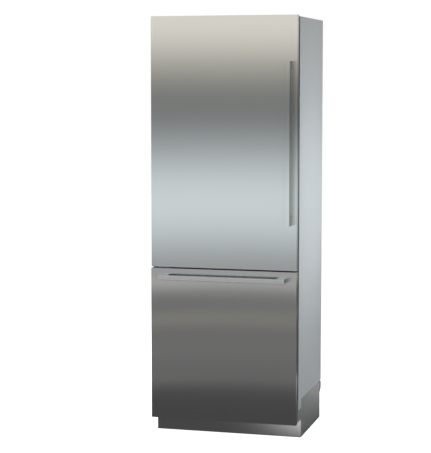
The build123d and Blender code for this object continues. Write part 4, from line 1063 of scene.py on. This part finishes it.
def freezer_bin(name, node, body, overhang):
    """The freezer's basket or its tray: a frosted bin on ledges."""
    low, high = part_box(node)
    mesh = bmesh.new()
    y = (low.y, high.y)
    rim_y = inset(y, FREEZER_RIM_END)
    bin_on_ledges(mesh, (low.x, high.x), y, (low.z, high.z), FREEZER_BIN_CORNER, overhang, rim_y)
    piece(name, mesh, body, "freezer_bin", [node])


class InteriorOperator(bpy.types.Operator):
    """Shelves, bins, drawers, lights and panels inside"""

    bl_idname = "refrigerator.interior"
    bl_label = "Interior"

    def execute(self, context):
        dress("shelf_glass", "shelf_glass", radius_mm=0.5)
        dress("shelf_trims", "trim_aluminium", radius_mm=0.8)
        door_bins("door_bin_set", "door_bins", "door")
        for node in ("crisper_lower", "crisper_upper"):
            crisper(f"{node}_bin", node, node)
        freezer_bin("freezer_basket_bin", "freezer_basket", "freezer_drawer", BASKET_OVERHANG)
        freezer_bin("freezer_tray_bin", "freezer_tray", "freezer_tray", TRAY_OVERHANG)
        dress("fridge_air_panel", "white_plastic", radius_mm=1.0, segments=3)
        dress("evaporator_cover", "white_plastic", radius_mm=1.0)
        dress("light_strips", "light_diffuser", radius_mm=1.0)
        dress("control_panel", "control_black", radius_mm=1.0, segments=3)
        dress("evaporator", "coil_aluminium")
        return {"FINISHED"}


def body_axis(body):
    """The point on its joint's axis that a body turns about."""
    joint = next(j for j in frame["joints"] if j["child"] == body)
    return Vector(joint["pos_m"])


def blade_section(share, radius, pitch, reach, middle):
    """A blade's outline at one radius: a cambered lens, pitched and wrapped round the wheel's axis."""
    wave = math.sin(math.pi * (CHORD_WAVE[0] + CHORD_WAVE[1] * share))
    chord = (CHORD_LEAST + CHORD_SWELL * wave) * HUB_RADIUS
    chord = min(chord, 2 * reach / max(math.sin(pitch), LEAST_PITCH_SINE))
    points = []
    for i in range(BLADE_POINTS):
        angle = 2 * math.pi * i / BLADE_POINTS
        along = math.cos(angle) * chord / 2
        thick = BLADE_HALF_THICK * math.sin(angle) * (BLADE_TAPER[0] - BLADE_TAPER[1] * share)
        across = thick + BLADE_CAMBER * chord * (1 - (2 * along / chord) ** 2)
        side = along * math.cos(pitch) - across * math.sin(pitch)
        rise = along * math.sin(pitch) + across * math.cos(pitch)
        rise = max(-reach, min(reach, rise))
        sweep = side / radius
        points.append(Vector((radius * math.sin(sweep), rise + middle, radius * math.cos(sweep))))
    return points


def fan_wheel(name, node):
    """A moulded fan wheel: twisted cambered blades on a domed hub."""
    size = bpy.context.scene.refrigerator_fan
    low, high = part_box(node)
    centre = body_axis(node)
    depth = high.y - low.y
    root = HUB_RADIUS * BLADE_ROOT
    tip = (high.z - centre.z) * BLADE_TIP
    front = Vector((centre.x, low.y, centre.z))
    mesh = bmesh.new()
    hub = [(height, HUB_RADIUS * share, "round") for height, share in HUB_DOME]
    hub.append((depth, HUB_RADIUS, "round"))
    turned(mesh, hub, front, (0, 1, 0))
    for i in range(size.blades):
        spin = Matrix.Rotation(2 * math.pi * i / size.blades, 3, "Y")
        rings = []
        for j in range(BLADE_STEPS + 1):
            share = j / BLADE_STEPS
            radius = root + (tip - root) * share
            pitch = size.root_pitch + (size.tip_pitch - size.root_pitch) * share
            points = blade_section(share, radius, pitch, depth * BLADE_REACH, depth / 2)
            rings.append(ring(mesh, [front + spin @ p for p in points]))
        skin(mesh, rings)
    piece(name, mesh, node, "black_plastic", [node])


class FansOperator(bpy.types.Operator):
    """Wheels of the evaporator fan and the condenser fan"""

    bl_idname = "refrigerator.fans"
    bl_label = "Fans"

    def execute(self, context):
        for node in ("evaporator_fan", "condenser_fan"):
            fan_wheel(f"{node}_wheel", node)
        return {"FINISHED"}


# Studio

# Bands of light that only glossy surfaces see: middle height, spread, edge, level and colour. An edge of
# 2 fades like a soft cloth, and one of 4 like a framed box. From the top: the warm light on the door's
# head, the cool one on its lower half, two strips that the drawer mirrors, a low box and its foot.
SOFTBOXES = (
    (2.18, 0.33, 2, 1.02, "#FFFCF0"),
    (1.09, 0.40, 2, 0.98, "#F1FBFF"),
    (0.62, 0.03, 2, 0.60, "#FFF2E6"),
    (0.40, 0.05, 2, 0.28, "#FFF8EC"),
    (0.20, 0.13, 4, 0.16, "#FFFFFF"),
    (0.04, 0.03, 4, 0.20, "#FFFFFF"),
)
# What the steel mirrors where no softbox lights it.
DARK_LEVEL = 0.065
# Small cards near the floor that lift one reflection each: corners, level, and along two axes the place
# and the spread of their brightest part. The toe-kick mirrors the first, the base's right side the second.
CARDS = {
    "toe_card": (
        ((-0.45, -0.282, 0.085), (0.90, -0.282, 0.085), (0.90, -0.185, 0.003), (-0.45, -0.185, 0.003)),
        1.15, (("X", 0.50, 0.255), ("Z", 0.09, 0.075))),
    "side_card": (
        ((0.40, 0.0, 0.004), (1.50, 0.0, 0.004), (1.50, 1.60, 0.004), (0.40, 1.60, 0.004)),
        0.88, (("X", 0.60, 1.00), ("Y", 1.60, 0.80))),
}
# How bright a card stays where its light has faded.
CARD_DARK_LEVEL = 0.10
# Lamps that only matt surfaces see: place, aim, and width and height.
LAMPS = {
    "right_lamp": ((1.01, 0.05, 1.25), (0.38, 0.05, 1.25), (0.9, 1.1)),
    "left_lamp": ((-2.9, 0.6, 1.4), (-0.38, 0.05, 1.2), (1.4, 1.4)),
    "front_lamp": ((-0.9, -5.4, 2.4), (0, 0, 1.2), (2.8, 2.8)),
    "rear_lamp": ((0.2, 3.4, 1.9), (0, 0, 1.1), (1.6, 1.6)),
    "top_lamp": ((0, 0, 4.6), (0, 0, 2), (1.6, 1.6)),
}
# The left lamp stands further off than the right one, and has this many times its power.
LEFT_LAMP_SHARE = 5.45
# The floor's own white on the rays that show the background, its width, and its cells along each side.
FLOOR_WHITE = 0.92
FLOOR_SIZE = 30.0
FLOOR_CELLS = 8
# The cylinder that holds the softboxes: its radius, where it starts and ends, the share of its radius that
# its floor leaves open, and the steps round it.
SURROUND_RADIUS = 1.6
SURROUND_FOOT = 0.003
SURROUND_TOP = 4.5
SURROUND_HOLE = 0.02
SURROUND_STEPS = 64
# The camera's place, its turn from the front and its drop from level in degrees, its lens and sensor, its
# vertical shift as a share of the sensor, and how far it sees.
CAMERA_PLACE = (1.925, -7.462, 1.809)
CAMERA_TURN = 15.30
CAMERA_DROP = 4.91
CAMERA_LENS_MM = 118.36
CAMERA_SENSOR_MM = 36.0
CAMERA_SHIFT_Y = -0.04
CAMERA_REACH = 100.0


def stage_mesh(name, mesh, material):
    """A mesh of the studio, which isn't part of the object."""
    mesh.normal_update()
    data = bpy.data.meshes.new(name)
    mesh.to_mesh(data)
    mesh.free()
    data.materials.append(material)
    data.shade_smooth()
    obj = bpy.data.objects.new(name, data)
    bpy.context.scene.collection.objects.link(obj)
    return obj


def only_glossy(obj):
    """Keeps a card out of everything but reflections."""
    for ray in ("camera", "diffuse", "transmission", "volume_scatter", "shadow"):
        setattr(obj, f"visible_{ray}", False)


def background_rays(tree):
    """1 on the rays that show the background: camera, glossy and transmission rays."""
    path = add(tree, "ShaderNodeLightPath")
    seen = add(tree, "ShaderNodeMath", {0: path.outputs["Is Camera Ray"], 1: path.outputs["Is Glossy Ray"]},
               operation="MAXIMUM")
    return add(tree, "ShaderNodeMath", {0: seen.outputs[0], 1: path.outputs["Is Transmission Ray"]},
               operation="MAXIMUM").outputs[0]


def floor_material(colour):
    """A pale paper floor that reads white behind the object and still takes its shadow."""
    made = bpy.data.materials.new("paper_floor")
    made.use_nodes = True
    tree = made.node_tree
    tree.nodes.clear()
    paper = add(tree, "ShaderNodeBsdfDiffuse", values={"Color": [*colour, 1.0]})
    share = add(tree, "ShaderNodeMath", {0: background_rays(tree)}, {1: FLOOR_WHITE}, operation="MULTIPLY")
    white = add(tree, "ShaderNodeEmission", {"Strength": share.outputs[0]})
    both = add(tree, "ShaderNodeAddShader", {0: paper.outputs[0], 1: white.outputs[0]})
    add(tree, "ShaderNodeOutputMaterial", {"Surface": both.outputs[0]})
    return made


def bell(tree, source, middle, spread, edge=2):
    """A level of 1 at a middle that falls off smoothly over a spread, along one coordinate."""
    away = add(tree, "ShaderNodeMath", {0: source}, {1: middle}, operation="SUBTRACT").outputs[0]
    share = add(tree, "ShaderNodeMath", {0: away}, {1: spread}, operation="DIVIDE").outputs[0]
    size = add(tree, "ShaderNodeMath", {0: share}, operation="ABSOLUTE").outputs[0]
    power = add(tree, "ShaderNodeMath", {0: size}, {1: edge}, operation="POWER").outputs[0]
    return add(tree, "ShaderNodeMath", {1: power}, {0: math.exp(-1)}, operation="POWER").outputs[0]


def card_material(name):
    """An empty material for a reflected card, its tree and the place on the card along each axis."""
    made = bpy.data.materials.new(name)
    made.use_nodes = True
    tree = made.node_tree
    tree.nodes.clear()
    place = add(tree, "ShaderNodeTexCoord")
    return made, tree, add(tree, "ShaderNodeSeparateXYZ", {0: place.outputs["Object"]})


def surround_material():
    """The softboxes as a gradient over height, smooth at every edge."""
    made, tree, place = card_material("softbox_surround")
    total = add(tree, "ShaderNodeEmission", values={"Color": (1, 1, 1, 1), "Strength": DARK_LEVEL}).outputs[0]
    for middle, spread, edge, level, colour in SOFTBOXES:
        share = bell(tree, place.outputs["Z"], middle, spread, edge)
        strength = add(tree, "ShaderNodeMath", {0: share}, {1: level}, operation="MULTIPLY").outputs[0]
        light = add(tree, "ShaderNodeEmission", {"Strength": strength}, {"Color": linear(colour)})
        total = add(tree, "ShaderNodeAddShader", {0: total, 1: light.outputs[0]}).outputs[0]
    add(tree, "ShaderNodeOutputMaterial", {"Surface": total})
    return made


def floor_card(name, corners, level, bells):
    """A small card whose light fades away from its middle, over a dark level of its own."""
    made, tree, place = card_material(name)
    first, second = (bell(tree, place.outputs[axis], middle, spread) for axis, middle, spread in bells)
    share = add(tree, "ShaderNodeMath", {0: first, 1: second}, operation="MULTIPLY").outputs[0]
    strength = add(tree, "ShaderNodeMath", {0: share}, {1: level, 2: CARD_DARK_LEVEL},
                   operation="MULTIPLY_ADD").outputs[0]
    light = add(tree, "ShaderNodeEmission", {"Strength": strength}, {"Color": (1, 1, 1, 1)})
    add(tree, "ShaderNodeOutputMaterial", {"Surface": light.outputs[0]})
    card = bmesh.new()
    card.faces.new([card.verts.new(corner) for corner in corners])
    only_glossy(stage_mesh(name, card, made))


def surround():
    """The cylinder of softboxes that the steel mirrors, round the object and under it."""
    mesh = bmesh.new()
    angles = [2 * math.pi * i / SURROUND_STEPS for i in range(SURROUND_STEPS)]
    rings = []
    for share, z in ((SURROUND_HOLE, SURROUND_FOOT), (1.0, SURROUND_FOOT), (1.0, SURROUND_TOP)):
        radius = SURROUND_RADIUS * share
        rings.append(ring(mesh, [(radius * math.cos(a), radius * math.sin(a), z) for a in angles]))
    skin(mesh, rings, caps=False)
    only_glossy(stage_mesh("softboxes", mesh, surround_material()))


def lamp(name, power):
    """A soft lamp that lights matt surfaces and stays out of reflections."""
    place, aim, size = LAMPS[name]
    data = bpy.data.lights.new(name, "AREA")
    data.shape = "RECTANGLE"
    data.size, data.size_y = size
    data.energy = power
    obj = bpy.data.objects.new(name, data)
    bpy.context.scene.collection.objects.link(obj)
    obj.location = place
    obj.rotation_euler = (Vector(aim) - Vector(place)).to_track_quat("-Z", "Y").to_euler()
    for ray in ("camera", "glossy", "transmission"):
        setattr(obj, f"visible_{ray}", False)


def studio_world(colour, level):
    """Even light from all round, and white where the background shows."""
    world = bpy.data.worlds.new("studio_world")
    bpy.context.scene.world = world
    world.use_nodes = True
    tree = world.node_tree
    tree.nodes.clear()
    air = add(tree, "ShaderNodeBackground", values={"Color": [*colour, 1.0], "Strength": level})
    white = add(tree, "ShaderNodeBackground", values={"Color": (1, 1, 1, 1), "Strength": 1.0})
    sockets = {0: background_rays(tree), 1: air.outputs[0], 2: white.outputs[0]}
    both = add(tree, "ShaderNodeMixShader", sockets)
    add(tree, "ShaderNodeOutputWorld", {"Surface": both.outputs[0]})


def camera():
    """The camera at the photograph's place and angle."""
    data = bpy.data.cameras.new("camera")
    data.sensor_width = CAMERA_SENSOR_MM
    data.lens = CAMERA_LENS_MM
    data.shift_y = CAMERA_SHIFT_Y
    data.clip_end = CAMERA_REACH
    obj = bpy.data.objects.new("camera", data)
    bpy.context.scene.collection.objects.link(obj)
    obj.location = CAMERA_PLACE
    obj.rotation_euler = (math.radians(90 - CAMERA_DROP), 0, math.radians(CAMERA_TURN))
    bpy.context.scene.camera = obj


class StageOperator(bpy.types.Operator):
    """Floor, light and camera of the studio"""

    bl_idname = "refrigerator.stage"
    bl_label = "Studio"

    def execute(self, context):
        look = context.scene.refrigerator_studio
        context.scene.view_settings.view_transform = "Standard"
        studio_world(look.floor, look.level)
        floor = bmesh.new()
        bmesh.ops.create_grid(floor, x_segments=FLOOR_CELLS, y_segments=FLOOR_CELLS, size=FLOOR_SIZE / 2)
        stage_mesh("floor", floor, floor_material(look.floor))
        surround()
        for name, (corners, level, bells) in CARDS.items():
            floor_card(name, corners, level, bells)
        lamp("right_lamp", look.side_power)
        lamp("left_lamp", look.side_power * LEFT_LAMP_SHARE)
        lamp("front_lamp", look.front_power)
        lamp("rear_lamp", look.rear_power)
        lamp("top_lamp", look.top_power)
        camera()
        return {"FINISHED"}


class RefrigeratorPanel(bpy.types.Panel):
    """Sizes, colours and steps of the refrigerator"""

    bl_idname = "VIEW3D_PT_refrigerator"
    bl_label = "Refrigerator"
    bl_space_type = "VIEW_3D"
    bl_region_type = "UI"
    bl_category = "Refrigerator"

    def draw(self, context):
        for name, kind in LOOKS:
            box = self.layout.box()
            for prop in kind.__annotations__:
                box.prop(getattr(context.scene, name), prop)
        for step in STEPS:
            self.layout.operator(step.bl_idname)


STEPS = (StageOperator, FrontsOperator, CabinetOperator, LinersOperator, BaseOperator, SealsOperator,
         HardwareOperator, InteriorOperator, FansOperator)


def register():
    for name, kind in LOOKS:
        bpy.utils.register_class(kind)
        setattr(bpy.types.Scene, name, bpy.props.PointerProperty(type=kind))
    for kind in (*STEPS, RefrigeratorPanel):
        bpy.utils.register_class(kind)


def unregister():
    for kind in (RefrigeratorPanel, *reversed(STEPS)):
        bpy.utils.unregister_class(kind)
    for name, kind in reversed(LOOKS):
        delattr(bpy.types.Scene, name)
        bpy.utils.unregister_class(kind)


def main():
    """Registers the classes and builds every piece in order."""
    register()
    for step in STEPS:
        group, name = step.bl_idname.split(".")
        getattr(getattr(bpy.ops, group), name)()


if __name__ == "__main__":
    main()
